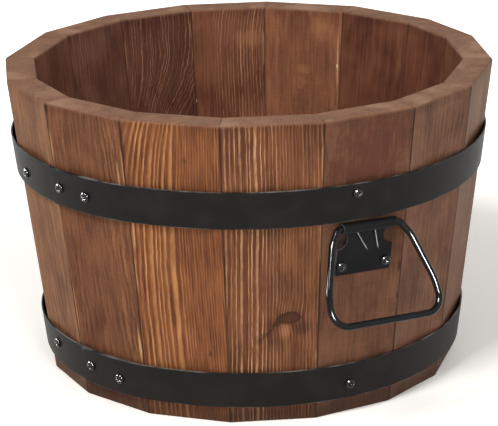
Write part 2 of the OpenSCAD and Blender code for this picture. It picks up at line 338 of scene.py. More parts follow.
PALE_MARK = srgb(214, 164, 112)
TAN_MARK = srgb(178, 124, 84)
DARK_MARK = srgb(54, 33, 24)
BLACK_MARK = srgb(28, 24, 23)
RED_MARK = srgb(98, 56, 44)
WHITE_MARK = srgb(232, 212, 186)


@dataclass(frozen=True)
class Knot:
    """A knot in a board: an eye that is wider than tall, with a dark streak from its left end."""

    across: float
    along: float
    radius: float
    push: float
    streak: Point
    flat: float
    tilt: float


@dataclass(frozen=True)
class Mark:
    """A soft spot or streak in the stain at the outer face or deeper in the board, or a patch of painted
    shade.
    """

    across: float
    along: float
    radius: float
    tall: float
    colour: Colour
    share: float
    depth: float = 0.0


@dataclass(frozen=True)
class Figure:
    """How the growth rings run through one board, and how strongly they show.

    Bends say how far the lines have moved across by the rim or the foot. Fans say how much they
    spread there, and both start at the height bend_from. Pale wood shows within pale_reach of
    pale_at, and crowd is the number of rings that are added on its right. Steady is the least
    strength of a ring, and dotted says how broken the rings are.
    """

    pith_across: float
    pith_depth: float
    wood: Colour = srgb(120, 78, 56)
    vein: Colour = srgb(200, 142, 92)
    ring: float = 0.0028
    bend_from: float = 0.131
    bend_up: float = 0.0
    fan_up: float = 0.0
    bend_down: float = 0.0
    fan_down: float = 0.0
    wander: float = 0.002
    pale: float = 0.5
    pale_at: float = 0.0
    pale_reach: float = 0.2
    low_pale: float = 0.12
    thin: float = 0.5
    crowd: float = 0.0
    steady: float = 0.25
    dotted: float = 1.0
    mottle: float = 0.3
    fibrous: float = 1.0
    sawn: float = 0.0
    bare_edge: float = 0.5
    knots: tuple[Knot, ...] = ()
    marks: tuple[Mark, ...] = ()


@dataclass(frozen=True)
class Spot:
    """The place in a board that a tree is worked out for, whole, in its parts and shifted."""

    shader: Shader
    board: Sock
    across: Sock
    depth: Sock
    along: Sock
    shifted: Sock

    def noise(self, texture: Texture) -> Sock:
        """Noise from 0 to 1 that is this board's own."""
        return self.shader.noise(self.shifted, texture)


@dataclass(frozen=True)
class StainedWood:
    """Brown stained softwood whose pale late wood shows through the stain.

    A mesh brings its place in the board as "board" (across, depth below the outer face, along)
    and as "edge" (distance from a side joint, share of end grain, distance from the rim). Each
    reach is a pair of distances, at which a change starts and ends.
    """

    figure: Figure
    seed: float
    length: float = 0.262
    # How much painted shade darkens the faces towards the foot, and between which heights.
    foot_shade: float = 0.65
    foot_shade_reach: Point = (0.022, 0.006)
    arris_start: Point = (0.0002, 0.0009)
    arris_end: Point = (0.0012, 0.0026)
    dirt_reach: Point = (0.0002, 0.0014)
    lip_reach: Point = (0.0004, 0.0030)
    rim_reach: Point = (0.002, 0.012)
    inner_reach: Point = (0.012, 0.020)
    crowd_reach: float = 0.055
    bare_patches: Point = (0.55, 0.66)
    dirt_patches: Point = (0.35, 0.55)
    line_end: Point = (0.88, 0.97)
    rim_start: Point = (0.82, 0.93)
    rim_end: Point = (0.95, 1.0)
    mark_depth: float = 0.008
    mark_reach: Point = (0.2, 1.5)
    knot_depth: float = 0.012
    eye_start: Point = (0.50, 0.85)
    eye_end: Point = (0.98, 1.30)
    eye_halo: Point = (1.0, 2.8)
    lid_reach: Point = (-0.004, 0.003)
    trail_half: float = 0.0026
    trail_start: Point = (-0.001, 0.003)
    blot_half: Point = (0.005, 0.004)
    roughness: float = 0.56
    gloss: float = 0.12
    shift: Place = (0.37, 0.21, 0.83)
    bare: Colour = srgb(206, 156, 106)
    end: Colour = srgb(137, 101, 79)
    end_deep: Colour = srgb(98, 66, 50)
    end_pale: Colour = srgb(160, 125, 101)
    # Dark brown of the dirt in the side joints, also used for the painted shade at the foot.
    grime_and_shade: Colour = srgb(42, 30, 25)
    knot_core: Colour = srgb(58, 34, 24)

    def material(self, name: str) -> bpy.types.Material:
        """Builds the material.

        Args:
            name: Name of the material.

        Returns:
            The finished material.
        """
        s = Shader(bpy.data.materials.new(name))
        board = s.attribute("board")
        spot = Spot(s, board, *s.split(board), board + tuple(self.seed * k for k in self.shift))
        joint, end_share, rim = s.split(s.attribute("edge"))
        count = self._ring_count(spot)
        late, rim_line = self._late_wood(spot, count)
        fibre, streak = spot.noise(Texture.FIBRE), spot.noise(Texture.STREAK)
        pore, chip = spot.noise(Texture.SPECKS), spot.noise(Texture.CHIPS)
        mixed = fibre + spot.noise(Texture.FINE_FIBRE) * 0.5 - 0.25
        face = self._face_colour(spot, late, rim_line, mixed, streak)
        colour = s.mix(end_share, face, self._end_colour(spot, count, pore))
        inside = spot.depth.band(*self.inner_reach, 1.0, 0.5)
        worn = joint.band(*self.arris_start) * joint.fade(*self.arris_end)
        scuff = worn * chip.band(*self.bare_patches) * (1 - end_share) * inside * self.figure.bare_edge
        colour = s.mix(scuff, colour, self.bare)
        dirt = joint.fade(*self.dirt_reach) * (1 - end_share * 0.85)
        colour = s.mix(dirt * inside * (0.5 + chip.band(*self.dirt_patches) * 0.45), colour, self.grime_and_shade)
        lip = rim.fade(*self.lip_reach) * (1 - end_share)
        colour = s.mix(lip * 0.5, colour, self.end)
        under = rim.fade(*self.rim_reach) * (1 - end_share) * streak.band(0.3, 0.7)
        colour = s.mix(under * 0.35, colour, self.figure.wood, "MULTIPLY")
        # Painted shade: the faces turn darker towards the foot, for the shade near the floor.
        foot_shade_share = rim.band(*(self.length - height for height in self.foot_shade_reach)) * self.foot_shade
        colour = s.mix(foot_shade_share, colour, self.grime_and_shade)
        rough = self.roughness + fibre * 0.14 - late * 0.05 + end_share * 0.16
        relief = late * 0.12 + fibre * 0.10 + streak * 0.06 + pore * end_share * 0.14
        return s.surface({"Base Color": colour, "Roughness": rough, "Normal": s.bump(relief),
                          "Specular IOR Level": self.gloss})

    def _end_colour(self, spot: Spot, count: Sock, pore: Sock) -> Sock:
        """Colour of the end grain: faint ring arcs, mottling and worn pale patches.

        Args:
            spot: Place in the board.
            count: Number of rings from the pith.
            pore: Fine noise of the pores.

        Returns:
            The colour.
        """
        arcs = count.fraction().band(0.2, 0.95)
        cloud = spot.noise(Texture.END_CLOUDS).band(0.35, 0.7)
        patch = spot.noise(Texture.END_PATCHES).band(0.5, 0.68)
        shade = arcs * 0.2 + cloud * 0.4 + pore.band(0.3, 0.7) * 0.4
        return spot.shader.mix(patch * 0.6, spot.shader.mix(shade, self.end, self.end_deep), self.end_pale)

    def _ring_count(self, spot: Spot) -> Sock:
        """Number of growth rings from the pith, with the uneven years of real ones.

        Args:
            spot: Place in the board.

        Returns:
            The number of rings.
        """
        f = self.figure
        radius = self._ring_radius(spot)
        years = spot.shader.node("ShaderNodeTexNoise", {"noise_dimensions": "1D"},
                                 {"W": radius + self.seed, "Scale": 0.35 / f.ring, "Detail": 1.0})
        count = radius / f.ring + (years - 0.5) * 1.3
        if f.crowd:
            start = f.pale_at + f.pale_reach * 0.6
            count = count + spot.across.band(start, start + self.crowd_reach, 0.0, f.crowd)
        return count

    def _ring_radius(self, spot: Spot) -> Sock:
        """Distance from the pith, with the wander of real rings and the push of knots.

        Args:
            spot: Place in the board.

        Returns:
            The distance.
        """
        f = self.figure
        middle = self.length / 2
        slow = spot.noise(Texture.SLOW_SWAY) - 0.5
        quick = spot.noise(Texture.QUICK_SWAY) - 0.5
        sway = slow * (5 * f.wander) + quick * (1.6 * f.wander)
        x = spot.across - f.pith_across + sway
        for height, bend, fan in ((spot.along - f.bend_from, f.bend_up, f.fan_up),
                                  (f.bend_from - spot.along, f.bend_down, f.fan_down)):
            if bend or fan:
                share = height.positive() / middle
                x = x - share * share * (bend + spot.across * fan)
        y = spot.depth - f.pith_depth + sway
        radius = (x * x + y * y).root()
        for knot in f.knots:
            radius = radius + self._oval(spot, knot, 1.5, 1.0).falloff() * knot.push
        return radius

    @staticmethod
    def _oval(spot: Spot, knot: Knot, spread: float, flat: float) -> Sock:
        """Distance from a knot's middle in knot radii.

        Args:
            spot: Place in the board.
            knot: The knot.
            spread: Size of the oval in knot radii.
            flat: Height of the oval as a share of its width.

        Returns:
            The distance, 1 on the oval.
        """
        x = spot.across - knot.across
        z = spot.along - knot.along - x * knot.tilt
        x, z = x / (knot.radius * spread), z / (knot.radius * spread * flat)
        return (x * x + z * z).root()

    def _late_wood(self, spot: Spot, count: Sock) -> tuple[Sock, Sock]:
        """Pale late wood, with its own strength in each ring, and the dark line that ends it.

        Args:
            spot: Place in the board.
            count: Number of rings from the pith.

        Returns:
            Strength of the late wood, and of the dark line.
        """
        f = self.figure
        share = count.fraction()
        line = share.band(0.10 + 0.35 * f.thin, 0.62 + 0.1 * f.thin) * share.fade(*self.line_end)
        own = spot.shader.node("ShaderNodeTexWhiteNoise", {"noise_dimensions": "1D"},
                               {"W": count.floor() + self.seed})
        broken = spot.noise(Texture.BREAKS).band(0.30, 0.62, 1 - f.dotted, 1.0)
        late = line * (own * (1 - f.steady) + f.steady) * broken
        return late, share.band(*self.rim_start) * share.fade(*self.rim_end)

    def _face_colour(self, spot: Spot, late: Sock, rim_line: Sock, fibre: Sock, streak: Sock) -> Sock:
        """Colour of the long faces: stain, mottling, fibres, late wood, marks and knots.

        Args:
            spot: Place in the board.
            late: Strength of the late wood.
            rim_line: Strength of the dark line that ends it.
            fibre: Noise of the fibres.
            streak: Noise of the long streaks.

        Returns:
            The colour.
        """
        s, f = spot.shader, self.figure
        deep, light = tinted(f.wood, 0.56, 0.50), tinted(f.wood, 1.32, 1.36)
        blotch = spot.noise(Texture.BLOTCHES)
        tone = 0.5 + (streak - 0.5) * f.fibrous + (blotch - 0.5) * (4 * f.mottle)
        tone = tone + (fibre - 0.5) * (3.0 * f.fibrous)
        if f.sawn:
            saw = spot.noise(Texture.SAW_MARKS) - 0.5
            tone = tone + saw * (streak + blotch) * (2.2 * f.sawn)
        colour = s.mix(tone.band(-0.15, 1.15), deep, light)
        reach = (spot.across - f.pale_at).size().fade(f.pale_reach * 0.7, f.pale_reach * 1.25)
        strength = reach * (f.pale - f.low_pale) + f.low_pale
        colour = s.mix(late * strength * (fibre * 0.9 + 0.55), colour, f.vein)
        colour = s.mix(rim_line * strength * 0.75, colour, deep)
        rag = spot.noise(Texture.RAGS) - 0.5
        for mark in f.marks:
            colour = self._with_mark(spot, colour, rag, mark)
        for knot in f.knots:
            colour = self._with_knot(spot, colour, rag, knot)
        return colour

    def _with_mark(self, spot: Spot, colour: Sock, rag: Sock, mark: Mark) -> Sock:
        """Lays one mark over the colour.

        Args:
            spot: Place in the board.
            colour: Colour under the mark.
            rag: Noise about 0 that frays the mark's outline.
            mark: The mark.

        Returns:
            The colour with the mark.
        """
        x = (spot.across - mark.across) / mark.radius
        z = (spot.along - mark.along) / (mark.radius * mark.tall)
        near = (x * x + z * z).root() + rag * (1 + 110 * mark.radius)
        level = ((spot.depth - mark.depth) / self.mark_depth).falloff()
        return spot.shader.mix(near.band(*self.mark_reach, mark.share, 0.0) * level, colour, mark.colour)

    def _with_knot(self, spot: Spot, colour: Sock, rag: Sock, knot: Knot) -> Sock:
        """Darkens a knot's outline and lids, and the streak that runs from its left end.

        Args:
            spot: Place in the board.
            colour: Colour under the knot.
            rag: Noise about 0 that frays the outline.
            knot: The knot.

        Returns:
            The colour with the knot.
        """
        grit = spot.shader.noise(spot.board, Texture.KNOT_GRIT) - 0.5
        near = self._oval(spot, knot, 1.0, knot.flat) + rag * 0.8 + grit * 0.7
        ring = near.band(*self.eye_start) * near.fade(*self.eye_end)
        lid = (spot.along - knot.along).band(*self.lid_reach, 0.55, 0.95)
        shade = ring * (lid + grit * 1.6) + near.band(0.3, 1.0, 0.5, 0.0)
        shade = shade + near.band(*self.eye_halo, 0.24, 0.0)
        run, drop = knot.streak
        length = math.hypot(run, drop)
        x = spot.across - knot.across + knot.radius * 0.8
        z = spot.along - knot.along
        on = (x * run + z * drop) / length
        off = (x * -drop + z * run) / length + rag * 0.007 + grit * 0.004
        trail = (off / self.trail_half).falloff() * on.band(*self.trail_start)
        trail = trail * on.fade(length * 0.6, length * 1.2)
        long, wide = self.blot_half
        blot = ((on - length) / long).falloff() * (off / wide).falloff()
        shade = shade + trail * (0.75 + grit * 2.0) + blot * 0.5
        shade = shade * (spot.depth / self.knot_depth).falloff()
        return spot.shader.mix(shade.band(0.0, 1.0) * 0.9, colour, self.knot_core)


@dataclass(frozen=True)
class BlackPaint:
    """Black paint on steel, with faint unevenness, dust, worn edges and painted highlights.

    A mesh brings "wear": distance from the nearest edge, and how much painted highlight a ridge gets.
    """

    seed: float
    paint: Colour = srgb(21, 20, 20)
    dusty: Colour = srgb(50, 43, 39)
    # Colour of worn edges, and of the painted highlights on edges and ridges.
    worn: Colour = srgb(150, 146, 142)
    roughness: float = 0.48
    gloss: float = 0.09
    dust: float = 0.3
    # Strength of the pale edge patches; on the hoops they are also a painted highlight along the edges.
    edge_wear_and_highlight: float = 0.45
    edge_reach: Point = (0.0002, 0.0011)

    def material(self, name: str) -> bpy.types.Material:
        """Builds the material.

        Args:
            name: Name of the material.

        Returns:
            The finished material.
        """
        s = Shader(bpy.data.materials.new(name))
        place = s.node("ShaderNodeTexCoord", out="Object") + (self.seed, 0.0, 0.0)
        edge, ridge, _ = s.split(s.attribute("wear"))
        cloud = s.noise(place, Texture.DUST)
        grit = s.noise(place, Texture.SPECKS)
        scratch = s.noise(place, Texture.SCRATCHES)
        wear_and_glint_patches = s.noise(place, Texture.RUBBING).band(0.35, 0.65)
        colour = s.mix(cloud.band(0.4, 0.75) * self.dust, self.paint, self.dusty)
        # Pale patches on the edges, partly worn paint and partly painted highlight, plus the painted
        # highlight on ridges.
        bright = edge.fade(*self.edge_reach) * wear_and_glint_patches * self.edge_wear_and_highlight + ridge
        colour = s.mix(bright.band(0.0, 1.0), colour, self.worn)
        rough = self.roughness + (cloud - 0.5) * 0.16 + (scratch - 0.5) * 0.08
        relief = grit * 0.02 + cloud * 0.05
        return s.surface({"Base Color": colour, "Roughness": rough, "Normal": s.bump(relief),
                          "Specular IOR Level": self.gloss})


@dataclass(frozen=True)
class TubShape:
    """Driving sizes of the tub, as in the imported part."""

    height: float = 0.262
    rim_r: float = 0.210
    foot_r: float = 0.180
    stave_t: float = 0.025
    staves: int = 16
    base_z: float = 0.020
    base_t: float = 0.018
    groove_d: float = 0.008
    groove_clear: float = 0.0005
    joint_shift: tuple[float, ...] = (0, 0, -1, 1, 0.8, -1.8, -0.5, 0.8, 0, 0, -0.5, 2.3, 1, 0, 0, 0)

    def corner_r(self, z: float) -> float:
        """Radius from the axis to the stave corners at a height."""
        return self.foot_r + (self.rim_r - self.foot_r) * z / self.height

    @property
    def corner_lean(self) -> float:
        """Lean of the stave corners from upright, in radians."""
        return math.atan((self.rim_r - self.foot_r) / self.height)

    def joint_angle(self, joint: int) -> float:
        """Direction of a joint, in radians. Stave i lies between joints i - 1 and i."""
        return math.radians((joint - 0.5) * 360 / self.staves + self.joint_shift[joint % self.staves])

    def stave_angle(self, stave: int) -> float:
        """Direction of the middle of a stave, in radians."""
        return (self.joint_angle(stave - 1) + self.joint_angle(stave)) / 2

    def half_angle(self, stave: int) -> float:
        """Half of the angle that a stave takes, in radians."""
        return (self.joint_angle(stave) - self.joint_angle(stave - 1)) / 2

    def face_lean(self, stave: int) -> float:
        """Lean of a stave's outer face from upright, in radians."""
        return math.atan((self.rim_r - self.foot_r) * math.cos(self.half_angle(stave)) / self.height)

    def face_r(self, stave: int, z: float) -> float:
        """Distance from the axis to a stave's outer face at a height."""
        return self.corner_r(z) * math.cos(self.half_angle(stave))

    def inner_r(self, stave: int, z: float) -> float:
        """Distance from the axis to a stave's inner face at a height."""
        return self.face_r(stave, z) - self.stave_t / math.cos(self.face_lean(stave))

    def groove_r(self, stave: int) -> float:
        """Distance from the axis to the bottom of a stave's groove."""
        return self.inner_r(stave, self.base_z) + self.groove_d


def link(name: str, data: bpy.types.ID) -> bpy.types.Object:
    """Puts a new object into the scene.

    Args:
        name: Name of the object.
        data: Its mesh, lamp or camera.

    Returns:
        The object, at the origin.
    """
    made = bpy.data.objects.new(name, data)
    bpy.context.scene.collection.objects.link(made)
    return made


def from_bmesh(name: str, mesh: bmesh.types.BMesh) -> bpy.types.Object:
    """Puts a mesh that was being edited into the scene, and frees it.

    Args:
        name: Name of the object.
        mesh: The mesh.

    Returns:
        The object.
    """
    data = bpy.data.meshes.new(name)
    mesh.to_mesh(data)
    mesh.free()
    return link(name, data)


def keep_vectors(mesh: bpy.types.Mesh, name: str, vectors: Iterable[Place]) -> None:
    """Keeps a vector at each point of a mesh under a name."""
    layer = mesh.attributes.new(name, "FLOAT_VECTOR", "POINT")
    layer.data.foreach_set("vector", [x for v in vectors for x in v])


def shade_smooth(mesh: bpy.types.Mesh, sharp: float) -> None:
    """Shades a mesh smooth, apart from edges above an angle in degrees."""
    mesh.polygons.foreach_set("use_smooth", [True] * len(mesh.polygons))
    mesh.set_sharp_from_angle(angle=math.radians(sharp))


class Piece:
    """A mesh that is built ring by ring, with vectors kept at each of its points."""

    def __init__(self, name: str) -> None:
        """Starts an empty mesh.

        Args:
            name: Name of the piece.
        """
        self.name = name
        self.points: list[Vector] = []
        self.faces: list[tuple[int, ...]] = []
        self.notes: dict[str, list[Place]] = {}

    def add_ring(self, points: Iterable[Sequence[float]]) -> list[int]:
        """Adds the points of a ring.

        Args:
            points: The points, in order round the ring.

        Returns:
            Their numbers.
        """
        start = len(self.points)
        self.points += [Vector(p) for p in points]
        return list(range(start, len(self.points)))

    def bridge(self, low: list[int], high: list[int]) -> None:
        """Joins two rings of equal length with quads.

        Args:
            low: Points of the first ring.
            high: Points of the second ring.
        """
        count = len(low)
        for k in range(count):
            n = (k + 1) % count
            self.faces.append((low[k], low[n], high[n], high[k]))

    def cap(self, ring: list[int], turned: bool = False) -> None:
        """Closes a ring with one face."""
        self.faces.append(tuple(reversed(ring)) if turned else tuple(ring))

    def skin(self, rings: list[list[int]], closed: bool = True) -> None:
        """Joins rings in a row.

        Args:
            rings: Points of each ring, in order.
            closed: Whether the first and the last ring are closed too.
        """
        for low, high in zip(rings, rings[1:]):
            self.bridge(low, high)
        if closed:
            self.cap(rings[0], turned=True)
            self.cap(rings[-1])

    def note(self, name: str, vectors: Iterable[Place]) -> None:
        """Adds vectors to what the points hold under a name."""
        self.notes.setdefault(name, []).extend(vectors)

    def build(self, material: bpy.types.Material, move: Matrix | None = None,
              sharp: float = 50.0) -> bpy.types.Object:
        """Makes the Blender object.

        Args:
            material: Finish of the whole piece.
            move: Matrix that puts the points in the part's frame.
            sharp: Angle in degrees above which an edge stays sharp.

        Returns:
            The object, at the origin.
        """
        mesh = bpy.data.meshes.new(self.name)
        placed = [move @ p for p in self.points] if move else self.points
        mesh.from_pydata([tuple(p) for p in placed], [], self.faces)
        for name, vectors in self.notes.items():
            keep_vectors(mesh, name, vectors)
        mesh.materials.append(material)
        shade_smooth(mesh, sharp)
        mesh.update()
        made = link(self.name, mesh)
        weigh = made.modifiers.new("Weighted normals", "WEIGHTED_NORMAL")
        weigh.keep_sharp = True
        return made


def arc(centre: Point, radius: float, start: float, end: float, steps: int) -> list[Point]:
    """Points along an arc, both ends included.

    Args:
        centre: Middle of the arc.
        radius: Radius of the arc.
        start: Direction of its first point, in degrees.
        end: Direction of its last point, in degrees.
        steps: Number of stretches.

    Returns:
        The points.
    """
    turns = [math.radians(start + (end - start) * k / steps) for k in range(steps + 1)]
    return [(centre[0] + radius * math.cos(a), centre[1] + radius * math.sin(a)) for a in turns]


def spread(low: float, high: float, steps: int) -> list[float]:
    """Even places between two values, both ends left out."""
    return [low + (high - low) * k / steps for k in range(1, steps)]


def finish_piece(made: bpy.types.Object, body: str, slot: str, *nodes: str) -> None:
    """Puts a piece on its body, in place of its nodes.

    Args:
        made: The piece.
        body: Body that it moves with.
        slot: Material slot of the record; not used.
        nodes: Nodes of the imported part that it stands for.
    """
    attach(made, body)
    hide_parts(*nodes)
    log.info("%s rides on %s and replaces %s", made.name, body, ", ".join(nodes))


class Grain(Enum):
    """The boards that the tub is made of, named by what shows on them."""

    KNOT_AND_FINE_LINES = Figure(
        -0.100, 0.036, wood=srgb(104, 63, 41), vein=srgb(222, 170, 126), ring=0.0037, crowd=5.0,
        wander=0.0024, pale=0.95, pale_at=-0.034, pale_reach=0.036, low_pale=0.30, thin=1.2,
        steady=0.3, dotted=0.85, mottle=0.55, fibrous=0.9,
        knots=(Knot(0.0137, 0.0940, 0.0085, 0.0050, streak=(-0.0175, -0.0200), flat=0.60, tilt=0.05),),
        marks=(Mark(0.0102, 0.0824, 0.0045, 1.5, TAN_MARK, 0.45),
               Mark(0.0229, 0.0846, 0.0080, 0.8, DARK_MARK, 0.6),
               Mark(0.0009, 0.0711, 0.0080, 1.0, DARK_MARK, 0.3),
               Mark(-0.0094, 0.1196, 0.0120, 1.8, RED_MARK, 0.5),
               Mark(0.0080, 0.1213, 0.0090, 1.8, DARK_MARK, 0.35),
               Mark(0.0270, 0.1480, 0.0055, 3.0, DARK_MARK, 0.35),
               Mark(0.0010, 0.0850, 0.0060, 1.2, RED_MARK, 0.5),
               Mark(0.0386, 0.1612, 0.0011, 18.0, PALE_MARK, 0.9),
               Mark(0.0400, 0.2250, 0.0010, 20.0, PALE_MARK, 0.9)))
    GOLD_BANDS = Figure(
        -0.110, 0.030, wood=srgb(114, 67, 42), vein=srgb(198, 140, 88), ring=0.0045, crowd=9.0,
        bend_from=0.190, bend_up=0.030, fan_up=-0.36, bend_down=0.001, wander=0.0024, pale=0.95,
        pale_at=-0.014, pale_reach=0.018, low_pale=0.26, thin=0.7, steady=0.5, dotted=0.6, mottle=0.5,
        fibrous=0.9,
        marks=(Mark(-0.0402, 0.2400, 0.0014, 20.0, DARK_MARK, 0.8),
               Mark(0.0110, 0.2308, 0.0020, 1.8, DARK_MARK, 0.6),
               Mark(0.0220, 0.0625, 0.0014, 2.0, DARK_MARK, 0.7),
               Mark(-0.0360, 0.1750, 0.0010, 24.0, PALE_MARK, 0.5)))
    PLAIN_WARM = Figure(
        0.070, 0.060, wood=srgb(107, 67, 46), ring=0.0040, pale=0.30, pale_at=0.040, pale_reach=0.020,
        low_pale=0.10, wander=0.003, mottle=0.45, fibrous=0.75, sawn=0.25,
        marks=(Mark(0.0340, 0.0620, 0.0015, 9.0, PALE_MARK, 0.75),
               Mark(0.0330, 0.2050, 0.0012, 18.0, PALE_MARK, 0.6),
               Mark(0.0402, 0.2400, 0.0010, 24.0, DARK_MARK, 0.8),
               Mark(-0.0385, 0.2250, 0.0010, 12.0, PALE_MARK, 0.45),
               Mark(-0.0400, 0.2500, 0.0018, 9.0, DARK_MARK, 0.95),
               Mark(-0.0394, 0.2585, 0.0024, 2.0, BLACK_MARK, 0.95)))
    PLAIN_GREY = Figure(0.030, 0.090, wood=srgb(108, 77, 59), ring=0.0026, pale=0.16, wander=0.002,
                        fibrous=0.7, sawn=0.22)
    PLAIN_TAN = Figure(
        0.045, 0.090, wood=srgb(124, 84, 58), ring=0.0026, pale=0.16, wander=0.002, mottle=0.45,
        fibrous=0.7, sawn=0.22,
        marks=(Mark(0.0372, 0.1350, 0.0012, 50.0, PALE_MARK, 0.75),
               Mark(0.0300, 0.2030, 0.0010, 16.0, PALE_MARK, 0.6)))
    PLAIN_DARK = Figure(
        -0.050, 0.090, wood=srgb(103, 69, 52), ring=0.0030, pale=0.08, low_pale=0.05, fibrous=0.35,
        mottle=0.6, sawn=0.3, bare_edge=0.08,
        marks=(Mark(0.0166, 0.2290, 0.0008, 25.0, DARK_MARK, 0.7),
               Mark(0.0396, 0.2400, 0.0016, 16.0, DARK_MARK, 0.55),
               Mark(0.0050, 0.2250, 0.0340, 0.8, RED_MARK, 0.85),
               Mark(0.0050, 0.2300, 0.0340, 0.8, DARK_MARK, 0.18),
               # Painted shade: the next two dark spots lie in the notches of the right handle's plate, under
               # its barrel.
               Mark(-0.0202, 0.1559, 0.0080, 1.1, BLACK_MARK, 1.0),
               Mark(0.0240, 0.1560, 0.0085, 1.0, DARK_MARK, 0.65),
               Mark(0.0364, 0.1240, 0.0016, 3.2, DARK_MARK, 0.85),
               Mark(0.0370, 0.0985, 0.0020, 1.6, DARK_MARK, 0.95),
               Mark(0.0366, 0.0670, 0.0014, 6.0, RED_MARK, 0.8)))
    PLAIN_DULL = Figure(0.060, 0.060, wood=srgb(110, 76, 60), ring=0.0030, pale=0.12, mottle=0.6,
                        fibrous=0.4, sawn=0.3, bare_edge=0.08)
    PLAIN_RED = Figure(
        -0.050, 0.110, wood=srgb(102, 61, 45), ring=0.0032, pale=0.08, low_pale=0.03, fibrous=0.35,
        mottle=0.6, sawn=0.18, marks=(Mark(-0.0307, 0.2271, 0.0022, 7.0, TAN_MARK, 0.22, depth=0.025),))
    PLAIN_BROWN = Figure(0.050, 0.110, wood=srgb(114, 73, 56), ring=0.0032, pale=0.08, low_pale=0.04,
                         fibrous=0.35, mottle=0.6, sawn=0.16)
    CURVED_LINES = Figure(
        -0.075, -0.020, wood=srgb(88, 52, 39), vein=srgb(176, 130, 106), ring=0.0028, bend_from=0.236,
        bend_down=0.110, fan_down=-2.2, pale=0.62, pale_at=-0.006, pale_reach=0.036, low_pale=0.22,
        thin=1.15, wander=0.0028, fibrous=0.5, mottle=0.5)
    BRIGHT_LINES = Figure(
        0.070, -0.010, wood=srgb(106, 63, 44), vein=srgb(190, 140, 106), ring=0.0027, bend_from=0.215,
        bend_up=-0.030, pale=0.75, pale_at=-0.012, pale_reach=0.026, low_pale=0.08, thin=1.1,
        wander=0.0026, fibrous=0.5, mottle=0.5,
        marks=(Mark(0.0334, 0.1763, 0.0013, 1.3, WHITE_MARK, 1.0, depth=0.025),
               Mark(-0.0200, 0.2330, 0.0130, 0.7, TAN_MARK, 0.3, depth=0.025)))
    PALE_TAN = Figure(
        0.000, 0.070, wood=srgb(127, 81, 57), ring=0.0040, pale=0.12, mottle=0.4, wander=0.004,
        fibrous=0.5, sawn=0.18,
        marks=(Mark(-0.0337, 0.2108, 0.0010, 2.0, WHITE_MARK, 0.9, depth=0.025),
               Mark(-0.0340, 0.2150, 0.0009, 30.0, PALE_MARK, 0.6, depth=0.025),
               Mark(-0.0170, 0.2440, 0.0100, 1.0, TAN_MARK, 0.35, depth=0.025),
               Mark(-0.0020, 0.2060, 0.0070, 0.7, TAN_MARK, 0.3, depth=0.025)))
    GREY_LINES = Figure(
        -0.050, -0.030, wood=srgb(107, 70, 56), vein=srgb(172, 128, 106), ring=0.0032, pale=0.50,
        pale_at=0.026, pale_reach=0.014, low_pale=0.06, thin=1.1, fibrous=0.4, mottle=0.5)


